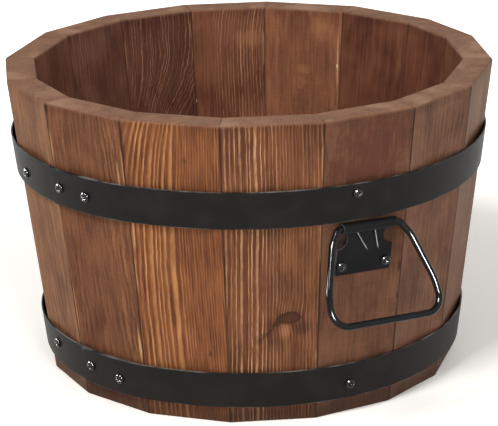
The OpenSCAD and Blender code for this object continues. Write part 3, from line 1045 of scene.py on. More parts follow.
@dataclass
class Staves:
    """The ring of staves, each a board with soft edges, a groove and its own grain."""

    shape: TubShape
    arris_r: float = 0.0010
    inner_arris_r: float = 0.0005
    rim_round: float = 0.0022
    foot_round: float = 0.0015
    side_share: float = 0.03
    level_pitch: float = 0.006
    hair: float = 0.00001
    uneven: float = 0.00014
    uneven_rate: Point = (60.0, 9.0)
    waver: float = 0.00022
    waver_rate: float = 30.0
    visible_gap: float = 0.00006
    round_steps: int = 6
    outer_steps: int = 14
    inner_steps: int = 11
    side_steps: int = 4
    insets: tuple[float, ...] = (0.06, 0.15, 0.3, 0.5, 0.75, 0.97)
    seed_step: float = 1.7
    grains: tuple[Grain, ...] = (
        Grain.PLAIN_DARK, Grain.PLAIN_DULL, Grain.PLAIN_GREY, Grain.PLAIN_WARM,
        Grain.PLAIN_RED, Grain.PLAIN_RED, Grain.PALE_TAN, Grain.BRIGHT_LINES,
        Grain.CURVED_LINES, Grain.GREY_LINES, Grain.PLAIN_BROWN, Grain.PLAIN_GREY,
        Grain.PLAIN_TAN, Grain.PLAIN_WARM, Grain.GOLD_BANDS, Grain.KNOT_AND_FINE_LINES,
    )

    def levels(self) -> list[Level]:
        """Levels at which a stave's outline is drawn, from the foot to the rim.

        Returns:
            Height, share of the end's round that is cut off, and whether it is in the groove.
        """
        s = self.shape
        low, high = s.base_z - s.groove_clear, s.base_z + s.base_t + s.groove_clear
        turns = [math.radians(90 * k / self.round_steps) for k in range(self.round_steps + 1)]
        levels = [(self.foot_round * (1 - math.cos(a)), 1 - math.sin(a), False) for a in turns]
        levels += [(z, 0.0, False) for z in spread(self.foot_round, low, self.side_steps)]
        levels += [(low - self.hair, 0.0, False), (low + self.hair, 0.0, True)]
        levels += [(z, 0.0, True) for z in spread(low, high, self.side_steps)]
        levels += [(high - self.hair, 0.0, True), (high + self.hair, 0.0, False)]
        count = round((s.height - high) / self.level_pitch)
        levels += [(z, 0.0, False) for z in spread(high, s.height - self.rim_round, count)]
        return levels + [(s.height - self.rim_round * (1 - math.cos(a)), 1 - math.sin(a), False)
                         for a in reversed(turns)]

    def section(self, stave: int, level: Level) -> list[Point]:
        """Outline of a stave at a level, outer face first.

        Args:
            stave: Number of the stave.
            level: The level.

        Returns:
            The points, as (out from the tub's axis, across).
        """
        s = self.shape
        z, cut, in_groove = level
        round_r = self.foot_round if z < s.height / 2 else self.rim_round
        out = s.face_r(stave, z) - cut * round_r
        inner = s.groove_r(stave) if in_groove else s.inner_r(stave, z) + cut * round_r
        side = s.half_angle(stave)
        slope = math.tan(side)
        side_cut = self.visible_gap / 2 / math.cos(side) + cut * round_r * self.side_share

        def half(at: float) -> float:
            """Half width at a distance from the axis."""
            return at * slope - side_cut

        waver = [self.waver * drift(z * self.waver_rate, 0.3 + k, stave) for k in (0, 1)]
        corner = self.arris_r * math.tan((math.pi / 2 - side) / 2)
        turn = math.degrees(side)
        right = half(out) - waver[0] - corner
        left = -half(out) + waver[1] + corner
        rate, rise = self.uneven_rate
        points = [(out + self.uneven * drift(y * rate, z * rise, stave + 0.5), y)
                  for y in [left, *spread(left, right, self.outer_steps)]]
        points += arc((out - self.arris_r, right), self.arris_r, 0, 90 + turn, 4)
        low = inner + self.inner_arris_r
        points += [(x, half(x) - waver[0]) for x in spread(out - self.arris_r, low, self.side_steps)]
        edge = half(low) - self.inner_arris_r
        points += arc((low, edge), self.inner_arris_r, 90 + turn, 180, 3)
        points += [(inner, y) for y in spread(edge, -edge, self.inner_steps)]
        points += arc((low, -edge), self.inner_arris_r, 180, 270 - turn, 3)
        points += [(x, -half(x) + waver[1]) for x in spread(low, out - self.arris_r, self.side_steps)]
        return points + arc((out - self.arris_r, left), self.arris_r, 270 - turn, 360, 4)[:-1]

    def ring(self, piece: Piece, stave: int, z: float, points: list[Point], end_share: float) -> list[int]:
        """Adds a ring to a stave, with what its finish needs at each point.

        Args:
            piece: Mesh of the stave.
            stave: Number of the stave.
            z: Height of the ring.
            points: Its points, as (out, across).
            end_share: How much of it is end grain.

        Returns:
            Numbers of the points.
        """
        s = self.shape
        face, slope = s.face_r(stave, z), math.tan(s.half_angle(stave))
        piece.note("board", [(y, face - x, z) for x, y in points])
        piece.note("edge", [(x * slope - abs(y), end_share, s.height - z) for x, y in points])
        return piece.add_ring((x, y, z) for x, y in points)

    def stave(self, number: int) -> bpy.types.Object:
        """Builds and dresses one stave.

        Args:
            number: Number of the stave, from 1.

        Returns:
            The stave's object.
        """
        piece = Piece(f"stave_{number:02d}_board")
        levels = self.levels()
        rings = [self.ring(piece, number, level[0], self.section(number, level), smooth(level[1] * 2))
                 for level in levels]
        piece.skin(rings, closed=False)
        self.close_end(piece, number, rings[0], levels[0], turned=True)
        self.close_end(piece, number, rings[-1], levels[-1], turned=False)
        turn = Matrix.Rotation(self.shape.stave_angle(number), 4, "Z")
        wood = StainedWood(self.grains[number - 1].value, seed=number * self.seed_step)
        return piece.build(wood.material(f"stave_{number:02d}_wood"), turn, sharp=60)

    def close_end(self, piece: Piece, number: int, last: list[int], level: Level,
                  turned: bool) -> None:
        """Closes a stave's end with rings that shrink towards its middle.

        Args:
            piece: Mesh of the stave.
            number: Number of the stave.
            last: The ring at the end.
            level: Level of that ring.
            turned: Whether the end faces down.
        """
        section = self.section(number, level)
        middle = (min(x for x, _ in section) + max(x for x, _ in section)) / 2
        half = max(y for _, y in section)
        for inset in self.insets:
            narrow = 1 - inset * self.shape.stave_t / 2 / half
            points = [(middle + (x - middle) * (1 - inset), y * narrow) for x, y in section]
            ring = self.ring(piece, number, level[0], points, 1.0)
            low, high = (ring, last) if turned else (last, ring)
            piece.bridge(low, high)
            last = ring
        piece.cap(last, turned)

    def build(self) -> None:
        """Builds every stave."""
        for number in range(1, self.shape.staves + 1):
            finish_piece(self.stave(number), TUB_BODY, "stained_wood", f"stave_{number:02d}")


@dataclass
class Base:
    """The boards of the base, with drain holes."""

    shape: TubShape
    boards: int = 5
    gap: float = 0.001
    drain_d: float = 0.014
    drain_x: float = 0.075
    drain_sides: int = 48
    edge_r: float = 0.0012
    edge_steps: int = 3
    sharp: float = 40.0
    figure: Figure = Figure(0.02, 0.06, ring=0.0034, pale=0.35, mottle=0.5)
    seed: float = 40.0
    seed_step: float = 2.3
    tones: tuple[Colour, ...] = (srgb(106, 70, 52), srgb(118, 80, 58), srgb(109, 70, 50),
                                 srgb(123, 84, 62), srgb(104, 69, 53))

    def outline(self) -> list[Vector]:
        """Corners of the base, seen from above.

        Returns:
            The corners, anticlockwise.
        """
        s = self.shape
        lines = [(s.stave_angle(i), s.groove_r(i) - s.groove_clear) for i in range(1, s.staves + 1)]
        corners = []
        for (a, d), (b, e) in zip(lines, lines[1:] + lines[:1]):
            wide = math.sin(b - a)
            corners.append(Vector(((d * math.sin(b) - e * math.sin(a)) / wide,
                                   (e * math.cos(a) - d * math.cos(b)) / wide, 0.0)))
        return corners

    def plank(self, name: str, corners: list[Vector], low: float, high: float) -> bpy.types.Object:
        """Cuts one plain board out of the base.

        Args:
            name: Name of the board.
            corners: Outline of the whole base.
            low: Lower y of the board.
            high: Upper y of the board.

        Returns:
            The board's object.
        """
        s = self.shape
        mesh = bmesh.new()
        mesh.faces.new([mesh.verts.new((c.x, c.y, s.base_z)) for c in corners])
        for y, way in ((low, -1), (high, 1)):
            bmesh.ops.bisect_plane(mesh, geom=mesh.verts[:] + mesh.edges[:] + mesh.faces[:],
                                   plane_co=(0, y, 0), plane_no=(0, way, 0), clear_outer=True)
        bmesh.ops.recalc_face_normals(mesh, faces=mesh.faces[:])
        grown = bmesh.ops.extrude_face_region(mesh, geom=mesh.faces[:])["geom"]
        for vert in (g for g in grown if isinstance(g, bmesh.types.BMVert)):
            vert.co.z += s.base_t
        bmesh.ops.recalc_face_normals(mesh, faces=mesh.faces[:])
        return from_bmesh(name, mesh)

    def board(self, number: int, corners: list[Vector]) -> bpy.types.Object:
        """Builds and dresses one board.

        Args:
            number: Number of the board, from 1 at the lowest y.
            corners: Outline of the whole base.

        Returns:
            The board's object.
        """
        reach = max(c.length for c in corners)
        pitch = 2 * reach / self.boards
        low = -reach + (number - 1) * pitch
        made = self.plank(f"base_board_{number}_plank", corners, low + self.gap / 2,
                          low + pitch - self.gap / 2)
        middle = low + pitch / 2
        for x, y in self.drains(pitch):
            if abs(y - middle) < pitch / 2:
                self.drill(made, x, y)
        self.soften(made)
        self.mark_grain(made.data, middle)
        figure = replace(self.figure, pith_across=self.figure.pith_across * (-1) ** number,
                         wood=self.tones[number - 1])
        wood = StainedWood(figure, seed=self.seed + number * self.seed_step, foot_shade=0.0)
        made.data.materials.clear()
        made.data.materials.append(wood.material(f"base_board_{number}_wood"))
        return made

    def drains(self, pitch: float) -> list[Point]:
        """Middles of the drain holes."""
        return [(0.0, 0.0)] + [(x, y) for x in (-self.drain_x, self.drain_x) for y in (-pitch, pitch)]

    def drill(self, made: bpy.types.Object, x: float, y: float) -> None:
        """Cuts one drain hole through a board.

        Args:
            made: The board.
            x: Place of the hole along X.
            y: Place of the hole along Y.
        """
        s = self.shape
        mesh = bmesh.new()
        bmesh.ops.create_cone(mesh, cap_ends=True, segments=self.drain_sides, radius1=self.drain_d / 2,
                              radius2=self.drain_d / 2, depth=2 * s.base_t,
                              matrix=Matrix.Translation((x, y, s.base_z + s.base_t / 2)))
        tool = from_bmesh("drill", mesh)
        cut = made.modifiers.new("Drain hole", "BOOLEAN")
        cut.object = tool
        cut.operation = "DIFFERENCE"
        cut.solver = "EXACT"
        self.apply(made)
        bpy.data.objects.remove(tool)

    def soften(self, made: bpy.types.Object) -> None:
        """Rounds the long edges of a board.

        Args:
            made: The board.
        """
        bevel = made.modifiers.new("Soft edges", "BEVEL")
        bevel.width = self.edge_r
        bevel.segments = self.edge_steps
        bevel.limit_method = "ANGLE"
        bevel.angle_limit = math.radians(self.sharp)
        self.apply(made)
        shade_smooth(made.data, self.sharp)

    @staticmethod
    def apply(made: bpy.types.Object) -> None:
        """Makes an object's modifiers part of its mesh.

        Args:
            made: The object.
        """
        shaped = made.evaluated_get(bpy.context.evaluated_depsgraph_get())
        data = bpy.data.meshes.new_from_object(shaped)
        made.modifiers.clear()
        made.data = data

    def mark_grain(self, mesh: bpy.types.Mesh, middle: float) -> None:
        """Keeps each point's place in the board, with the grain along X.

        Args:
            mesh: Mesh of the board.
            middle: Y of the board's middle.
        """
        top = self.shape.base_z + self.shape.base_t
        points = [v.co for v in mesh.vertices]
        keep_vectors(mesh, "board", [(p.y - middle, top - p.z, p.x) for p in points])
        keep_vectors(mesh, "edge", [(1.0, 0.0, 1.0)] * len(points))

    def build(self) -> None:
        """Builds every board."""
        corners = self.outline()
        for number in range(1, self.boards + 1):
            finish_piece(self.board(number, corners), TUB_BODY, "base_wood", f"base_board_{number}")


@dataclass
class Screws:
    """Pan-head screws with a cross recess, all of one finish."""

    head_d: float = 0.0084
    head_h: float = 0.0028
    shank_d: float = 0.004
    tip_r: float = 0.0004
    length: float = 0.020
    rim_r: float = 0.0002
    rim_rise: float = 0.36
    brim: float = 0.42
    dome_power: float = 2.6
    arm_reach: float = 0.0024
    arm_half: float = 0.00072
    core_r: float = 0.0013
    recess: float = 0.0012
    recess_rise: float = 0.35
    wall_run: float = 0.0004
    arm_run: float = 0.0003
    edge_at: float = 0.93
    sides: int = 72
    steps: int = 26
    rim_steps: int = 6
    paint: BlackPaint = BlackPaint(seed=5.0, paint=srgb(12, 12, 14), worn=srgb(110, 108, 108),
                                   roughness=0.14, gloss=0.3, dust=0.05, edge_wear_and_highlight=0.1)
    finish: bpy.types.Material = field(init=False)

    def __post_init__(self) -> None:
        """Makes the finish that all screws share."""
        self.finish = self.paint.material("screw_black")

    def crown(self, radius: float, turn: float) -> float:
        """Height of the head's top above its seat, with the recess cut in.

        Args:
            radius: Distance from the head's middle.
            turn: Direction from the middle, in radians.

        Returns:
            The height.
        """
        share = radius / (self.head_d / 2)
        round_off = math.sqrt(max(0.0, 1 - share ** self.dome_power))
        dome = self.head_h * (self.brim + (1 - self.brim) * round_off)
        x, y = abs(radius * math.cos(turn)), abs(radius * math.sin(turn))
        long, short = max(x, y), min(x, y)
        arm = smooth((self.arm_reach - long) / self.wall_run)
        arm *= smooth((self.arm_half - short) / self.arm_run)
        core = smooth((self.core_r - radius) / self.wall_run)
        depth = self.recess * (1 - self.recess_rise * long / self.arm_reach)
        return dome - depth * max(arm, core)

    def crown_radii(self) -> list[float]:
        """Radii of the rings over the crown.

        Returns:
            The radii, from the rim inwards.
        """
        radius, steps, rim = self.head_d / 2, self.steps, self.rim_steps
        radii = [radius * math.cos(math.pi / 2 * k / steps) for k in range(1, rim + 1)]
        inner = [radii[-1] * (steps - k) / (steps - rim) for k in range(rim + 1, steps)]
        return radii + inner

    def screw(self, name: str, move: Matrix, turn: float) -> bpy.types.Object:
        """Builds one screw.

        Args:
            name: Name of the piece.
            move: Frame whose X runs out of the head, with its seat at the origin.
            turn: Turn of the recess, in radians.

        Returns:
            The screw's object.
        """
        piece = Piece(name)
        turns = [2 * math.pi * k / self.sides for k in range(self.sides)]
        radius, shank_r = self.head_d / 2, self.shank_d / 2
        plain = [(-self.length, self.tip_r), (self.shank_d - self.length, shank_r), (0.0, shank_r),
                 (0.0, radius - self.rim_r), (self.rim_r, radius), (self.head_h * self.rim_rise, radius)]
        rings = [piece.add_ring((x, r * math.cos(a), r * math.sin(a)) for a in turns) for x, r in plain]
        rings += [piece.add_ring((self.crown(r, a), r * math.cos(a + turn), r * math.sin(a + turn))
                                 for a in turns) for r in self.crown_radii()]
        piece.skin(rings)
        edge = radius * self.edge_at
        piece.note("wear", [(abs(edge - math.hypot(p.y, p.z)), 0.0, 0.0) for p in piece.points])
        return piece.build(self.finish, move, sharp=70)


@dataclass
class Hoop:
    """A steel strap round the tub, wound over its own start and screwed."""

    name: str
    shape: TubShape
    screws: Screws
    mid_z: float
    lap_angle: float
    lap_places: tuple[Point, ...]
    places: tuple[Point, ...]
    paint: Colour = srgb(22, 21, 21)
    width: float = 0.032
    thickness: float = 0.0014
    lap_span: float = 17.0
    step_span: float = 16.0
    lap_gap: float = 0.0001
    end_gap: float = 0.5
    end_turns: tuple[float, ...] = (0.0, 0.05, 0.12)
    turn_step: float = 1.5
    edge_r: float = 0.0004
    uneven: float = 0.00012
    uneven_rate: Point = (0.06, 40.0)
    uneven_seed: float = 50.0
    paint_seed: float = 10.0
    screw_turn: float = 0.4
    next_turn: float = 1.9

    @property
    def wall(self) -> float:
        """Thickness of the strap, measured level."""
        return self.thickness / math.cos(self.shape.corner_lean)

    @property
    def layer(self) -> float:
        """Step from one layer of the lap to the next."""
        return self.wall + self.lap_gap

    def proud(self, turn: float) -> float:
        """How far the strap stands off the stave corners.

        Args:
            turn: Degrees from the strap's outer end.

        Returns:
            The distance.
        """
        share = (turn - self.lap_span) / self.step_span
        if share <= 0:
            return self.layer
        if share >= 1:
            return 0.0
        return self.layer * (1 - 2 * share * share if share < 0.5 else 2 * (1 - share) ** 2)

    def profile(self) -> list[Point]:
        """Section of the strap.

        Returns:
            The points, as (out from its back, up from its middle).
        """
        r, t, half = self.edge_r, self.thickness, self.width / 2
        points = arc((t - r, r - half), r, -90, 0, 3)
        points += [(t, v) for v in spread(r - half, half - r, 8)]
        points += arc((t - r, half - r), r, 0, 90, 3) + arc((r, half - r), r, 90, 180, 3)
        points += [(0.0, v) for v in spread(half - r, r - half, 4)]
        return points + arc((r, r - half), r, 180, 270, 3)

    def turns(self) -> list[float]:
        """Directions in which the strap's section is drawn.

        Returns:
            Degrees from the strap's outer end.
        """
        full = 360 + self.lap_span - self.end_gap
        steps = range(1, int(full / self.turn_step) + 1)
        return [*self.end_turns, *(k * self.turn_step for k in steps), full]

    def ring(self, turn: float, end: float) -> list[Place]:
        """The strap's section in one direction.

        Args:
            turn: Degrees from the strap's outer end.
            end: Degrees from the nearer end.

        Returns:
            The points, in the part's frame.
        """
        s = self.shape
        tilt = math.cos(s.corner_lean)
        a = math.radians(self.lap_angle + turn)
        tuck = self.edge_r * (1 - smooth(end / self.end_turns[-1]))
        rate, rise = self.uneven_rate
        points = []
        for out, up in self.profile():
            outer = out > self.thickness / 2
            off = out + (-tuck if outer else tuck)
            z = self.mid_z + up * tilt
            radius = s.corner_r(z) + self.proud(turn) + off / tilt
            if outer:
                radius += self.uneven * drift(turn * rate, up * rise, self.mid_z * self.uneven_seed)
            points.append((radius * math.cos(a), radius * math.sin(a), z))
        return points

    def strap(self) -> bpy.types.Object:
        """Builds and dresses the strap.

        Returns:
            The strap's object.
        """
        piece = Piece(f"{self.name}_strap")
        turns = self.turns()
        rings = []
        for turn in turns:
            end = min(turn, turns[-1] - turn)
            rings.append(piece.add_ring(self.ring(turn, end)))
            away = self.shape.corner_r(self.mid_z) * math.radians(end)
            piece.note("wear", [(min(self.width / 2 - abs(up), away), 0.0, 0.0) for _, up in self.profile()])
        piece.skin(rings)
        finish = BlackPaint(seed=self.mid_z * self.paint_seed, paint=self.paint)
        return piece.build(finish.material(f"{self.name}_paint"), sharp=50)

    def seat(self, angle: float, up: float, layer: int) -> Matrix:
        """Frame of a screw's seat on the strap, with X out of it.

        Args:
            angle: Direction of the screw, in degrees.
            up: Height above the middle of the strap, as a share of its width.
            layer: 1 on the lap's outer layer, or 0.

        Returns:
            The frame.
        """
        z = self.mid_z + up * self.width
        out = self.shape.corner_r(z) + self.wall + layer * self.layer
        lean = Matrix.Rotation(self.shape.corner_lean, 4, "Y")
        return Matrix.Rotation(math.radians(angle), 4, "Z") @ Matrix.Translation((out, 0, z)) @ lean

    def build(self) -> None:
        """Builds the strap and its screws."""
        finish_piece(self.strap(), TUB_BODY, "black_hoop", self.name)
        seats = [self.seat(self.lap_angle + a, up, 1) for a, up in self.lap_places]
        seats += [self.seat(a, up, 0) for a, up in self.places]
        for k, seat in enumerate(seats, 1):
            turn = self.screw_turn + self.next_turn * k
            made = self.screws.screw(f"{self.name}_screw_{k}", seat, turn)
            finish_piece(made, TUB_BODY, "black_screw", f"{self.name}_screws")


@dataclass
class Handle:
    """A plate with a rolled barrel, two screws, and a wire bail that swings in the barrel."""

    side: str
    shape: TubShape
    screws: Screws
    stave: int
    leaf_t: float = 0.0015
    leaf_w: float = 0.052
    leaf_drop: float = 0.0425
    leaf_corner_r: float = 0.0025
    leaf_soft: float = 0.0004
    leaf_steps: int = 56
    leaf_across: int = 150
    end_thins: tuple[float, ...] = (0.6, 0.9, 1.0)
    ledge_r: float = 0.0006
    ledge_drop: float = 0.0008
    notch_r: float = 0.008
    notch_drop: float = 0.0115
    neck_w: float = 0.034
    barrel_len: float = 0.050
    barrel_t: float = 0.0015
    barrel_steps: int = 64
    screw_edge: float = 0.0055
    screw_rise: float = 0.008
    screw_turn: float = 0.9
    next_turn: float = 1.1
    rib_w: float = 0.0018
    rib_h: float = 0.0032
    rib_tip_h: float = 0.0005
    rib_drop: float = 0.023
    rib_top: float = 0.9
    rib_over: float = 0.2
    rib_end: float = 1.25
    rib_start_run: float = 0.12
    rib_end_run: float = 0.25
    rib_curve: float = 0.55
    ribs: tuple[Point, ...] = ((-0.31, 0.08), (0.185, 0.37))
    # Painted highlight along the ribs' crests: where it starts and how far it reaches.
    highlight_rise: float = 0.0006
    highlight_from: float = 0.6
    highlight_reach: float = 0.0003
    highlight_top: float = 0.80
    wire_d: float = 0.0056
    wire_clear: float = 0.00008
    exit_clear: float = 0.0003
    wire_end_gap: float = 0.001
    wire_soft: float = 0.0005
    wire_sides: int = 28
    bail_drop: float = 0.077
    corner_out: float = 0.0262
    knee_out: float = 0.0238
    knee_rise: float = 0.027
    shoulder_out: float = 0.0115
    shoulder_drop: float = 0.012
    exit_bend_r: float = 0.006
    shoulder_bend_r: float = 0.025
    knee_bend_r: float = 0.060
    corner_bend_r: float = 0.014
    bend_rounds: int = 12
    swing: float = 28.0
    roll_end: float = -127.0
    # Its pale colour serves for worn edges and for the painted highlight along the ribs.
    leaf_paint: BlackPaint = BlackPaint(seed=3.0, paint=srgb(15, 15, 18), worn=srgb(206, 206, 208),
                                        roughness=0.38, gloss=0.1, dust=0.15, edge_wear_and_highlight=0.2)
    wire_paint: BlackPaint = BlackPaint(seed=9.0, paint=srgb(14, 14, 16), roughness=0.1, gloss=0.13,
                                        dust=0.04)
    joint: dict = field(init=False)

    def __post_init__(self) -> None:
        """Finds this handle's joint in the frame."""
        self.joint = next(j for j in frame["joints"] if j["child"] == f"{self.side}_handle")

    @property
    def barrel_r(self) -> float:
        """Outer radius of the barrel."""
        return self.wire_d / 2 + self.wire_clear + self.barrel_t

    def place(self) -> Matrix:
        """Frame at the pivot.

        Returns:
            The frame, with X out of the stave, Y along the barrel and Z up the plate.
        """
        turn = Matrix.Rotation(self.shape.stave_angle(self.stave), 3, "Z")
        lean = self.shape.face_lean(self.stave)
        out = turn @ Vector((math.cos(lean), 0, -math.sin(lean)))
        along = -Vector(self.joint["axis"]).normalized()
        axes = Matrix((out, along, out.cross(along))).transposed()
        return Matrix.Translation(self.joint["pos_m"]) @ axes.to_4x4()

    def outline(self) -> list[Point]:
        """Right edge of the leaf, from its lower corner to the barrel.

        Returns:
            The points, as (half width, height over the pivot).
        """
        half, low = self.leaf_w / 2, -self.leaf_drop
        r, notch = self.leaf_corner_r, self.neck_w / 2 + self.notch_r
        ledge = -self.notch_drop - self.notch_r - self.ledge_drop
        points = arc((half - r, low + r), r, -90, 0, 10)[1:]
        points += [(half, z) for z in spread(low + r, ledge, self.leaf_steps)]
        points += arc((half - self.ledge_r, ledge), self.ledge_r, 0, 75, 4)
        points += arc((notch, -self.notch_drop), self.notch_r, 262, 102, 40)
        end = points[-1][1]
        rest = [(self.barrel_len / 2 - self.ledge_r * (1 - k / 3), end - end * k / 4) for k in range(1, 4)]
        return points + rest

    def strip(self) -> list[tuple[float, float, float, float]]:
        """Rings of the strip, which runs up the leaf and then round the barrel.

        Returns:
            X and Z of each ring's middle, direction out of it in radians, and half width.
        """
        rings = [(self.leaf_t / 2 - self.barrel_r, z, 0.0, w) for w, z in self.outline()]
        radius = self.barrel_r - self.leaf_t / 2
        for k in range(self.barrel_steps + 1):
            a = math.radians(180 + (self.roll_end - 180) * k / self.barrel_steps)
            rings.append((radius * math.cos(a), radius * math.sin(a), a - math.pi, self.barrel_len / 2))
        return rings

    def ridge(self, y: float, z: float) -> float:
        """Height of the pressed ribs above the leaf.

        Args:
            y: Place across the leaf.
            z: Place up the leaf, from the pivot.

        Returns:
            The height.
        """
        top = -self.barrel_r * self.rib_top
        share = (top - z) / (self.rib_drop + top)
        if not -self.rib_over < share < self.rib_end:
            return 0.0
        height = self.rib_h + (self.rib_tip_h - self.rib_h) * min(max(share, 0.0), 1.0)
        starts = smooth((share + self.rib_start_run) / self.rib_start_run)
        ends = smooth((self.rib_end - share) / self.rib_end_run)
        tall = 0.0
        for at_top, at_tip in self.ribs:
            middle = self.neck_w * (at_top + (at_tip - at_top) * share)
            tall = max(tall, math.exp(-((y - middle) / (self.rib_w * self.rib_curve)) ** 2))
        return height * starts * ends * tall

    def rib_highlight_share(self, place: Vector) -> float:
        """How much painted highlight lies along a rib's crest.

        Args:
            place: Place on the leaf.

        Returns:
            0 for plain paint and 1 for the full painted highlight.
        """
        rise = place.x - self.leaf_t + self.barrel_r
        peak = self.ridge(place.y, place.z)
        tall = max(self.ridge(place.y + way * self.highlight_reach, place.z) for way in (-1, 1))
        crest = smooth((peak - tall * self.highlight_top) / ((1 - self.highlight_top) * peak + 1e-6))
        return smooth(rise / self.highlight_rise - self.highlight_from) * crest

    def section(self, thin: float, half: float) -> list[Point]:
        """Section of the strip.

        Args:
            thin: Half its thickness.
            half: Half its width.

        Returns:
            The points, as (out of its middle, across).
        """
        soft = self.leaf_soft
        front = [(thin, y) for y in spread(soft - half, half - soft, self.leaf_across)]
        front += arc((thin - soft, half - soft), soft, 0, 90, 3)
        side = [(o, -y) for o, y in arc((thin - soft, half - soft), soft, 90, 0, 3)]
        return front + [(-o, y) for o, y in reversed(front)] + [(-o, y) for o, y in reversed(side)] + side

    def plate(self) -> bpy.types.Object:
        """Builds and dresses the leaf with its rolled barrel.

        Returns:
            The plate's object.
        """
        piece = Piece(f"{self.side}_handle_leaf")
        strip, rings = self.strip(), []
        for k, (x, z, turn, half) in enumerate(strip):
            near_end = min(k, len(strip) - 1 - k, len(self.end_thins) - 1)
            out = Vector((math.cos(turn), 0.0, math.sin(turn)))
            flat = turn == 0.0
            ring = []
            for o, y in self.section(self.leaf_t / 2 * self.end_thins[near_end], half):
                lift = self.ridge(y, z) if flat and o > 0 else 0.0
                ring.append(Vector((x, y, z)) + out * (o + lift))
            rings.append(piece.add_ring(ring))
            # The second value is the painted highlight along the ribs' crests.
            piece.note("wear", [(half - abs(v.y), self.rib_highlight_share(v) if flat else 0.0, 0.0) for v in ring])
        piece.skin(rings)
        return piece.build(self.leaf_paint.material(f"{self.side}_plate_paint"), self.place(), sharp=50)

    def wire_corners(self) -> list[tuple[Vector, float]]:
        """Corners of the wire's path.

        Returns:
            Each corner, as (sideways, away from the pivot), and its bend radius.
        """
        end = self.barrel_len / 2
        shoulder = end + self.shoulder_out
        first = end + self.exit_bend_r / 2
        # The exit bend's place and its turn depend on each other, and settle in these rounds.
        for _ in range(self.bend_rounds):
            turn = math.atan2(self.shoulder_drop, shoulder - first)
            first = end + self.exit_clear + self.exit_bend_r * math.tan(turn / 2)
        half = [((self.wire_end_gap / 2, 0.0), 0.0), ((first, 0.0), self.exit_bend_r),
                ((shoulder, self.shoulder_drop), self.shoulder_bend_r),
                ((end + self.knee_out, self.bail_drop - self.knee_rise), self.knee_bend_r),
                ((end + self.corner_out, self.bail_drop), self.corner_bend_r)]
        mirrored = [((-x, d), r) for (x, d), r in reversed(half)]
        return [(Vector(p), r) for p, r in half + mirrored]

    def wire_path(self) -> list[tuple[Vector, Vector]]:
        """Middle of the wire, with its corners bent round.

        Returns:
            Points along it, each with the direction of the path.
        """
        corners = self.wire_corners()
        runs = [(b[0] - a[0]).normalized() for a, b in zip(corners, corners[1:])]
        path = [(corners[0][0], runs[0])]
        for (place, radius), before, after in zip(corners[1:-1], runs, runs[1:]):
            turn = before.angle(after)
            start = place - before * radius * math.tan(turn / 2)
            inward = Vector((-before.y, before.x))
            centre = start + inward * radius
            steps = max(6, round(math.degrees(turn) / 4))
            for n in range(steps + 1):
                a = turn * n / steps
                out = (-inward) * math.cos(a) + before * math.sin(a)
                path.append((centre + out * radius, before * math.cos(a) + inward * math.sin(a)))
        path.append((corners[-1][0], runs[-1]))
        return path

    def bail(self) -> bpy.types.Object:
        """Builds and dresses the wire bail at rest.

        Returns:
            The bail's object.
        """
        piece = Piece(f"{self.side}_handle_wire")
        radius, soft = self.wire_d / 2, self.wire_soft
        down = Matrix.Rotation(-math.radians(self.swing) - self.shape.face_lean(self.stave), 3, "Y")
        away = down @ Vector((0, 0, -1))
        flat = down @ Vector((1, 0, 0))
        turns = [2 * math.pi * k / self.wire_sides for k in range(self.wire_sides)]
        path = self.wire_path()
        (start, first), (stop, last) = path[0], path[-1]
        stations = [(start, first, radius - soft), (start + first * soft, first, radius)]
        stations += [(p, d, radius) for p, d in path[1:-1]]
        stations += [(stop - last * soft, last, radius), (stop, last, radius - soft)]
        rings = []
        for place, way, r in stations:
            middle = Vector((0, place.x, 0)) + away * place.y
            normal = Vector((0, -way.y, 0)) + away * way.x
            rings.append(piece.add_ring(middle + (normal * math.cos(a) + flat * math.sin(a)) * r
                                        for a in turns))
        piece.skin(rings)
        piece.note("wear", [(1.0, 0.0, 0.0)] * len(piece.points))
        return piece.build(self.wire_paint.material(f"{self.side}_wire_paint"), self.place(), sharp=60)

    def build(self) -> None:
        """Builds the plate, its screws and the bail."""
        place = self.place()
        finish_piece(self.plate(), TUB_BODY, "black_plate", f"{self.side}_handle_plate")
        finish_piece(self.bail(), f"{self.side}_handle", "black_wire", f"{self.side}_bail")
        for k, way in enumerate((-1, 1), 1):
            seat = place @ Matrix.Translation((self.leaf_t - self.barrel_r,
                                               way * (self.leaf_w / 2 - self.screw_edge),
                                               self.screw_rise - self.leaf_drop))
            turn = self.screw_turn + self.next_turn * k
            made = self.screws.screw(f"{self.side}_plate_screw_{k}", seat, turn)
            finish_piece(made, TUB_BODY, "black_screw", f"{self.side}_plate_screws")


@dataclass(frozen=True)
class Lamp:
    """A soft square lamp: its name, place, length of its sides and power in watts."""

    name: str
    at: Place
    size: float
    power: float

    def build(self, aim: Place) -> bpy.types.Object:
        """Makes the lamp.

        Args:
            aim: Place that it looks at.

        Returns:
            The lamp's object.
        """
        data = bpy.data.lights.new(self.name, "AREA")
        data.size = self.size
        data.energy = self.power
        made = link(self.name, data)
        made.location = self.at
        way = Vector(aim) - Vector(self.at)
        made.rotation_euler = way.to_track_quat("-Z", "Y").to_euler()
        return made


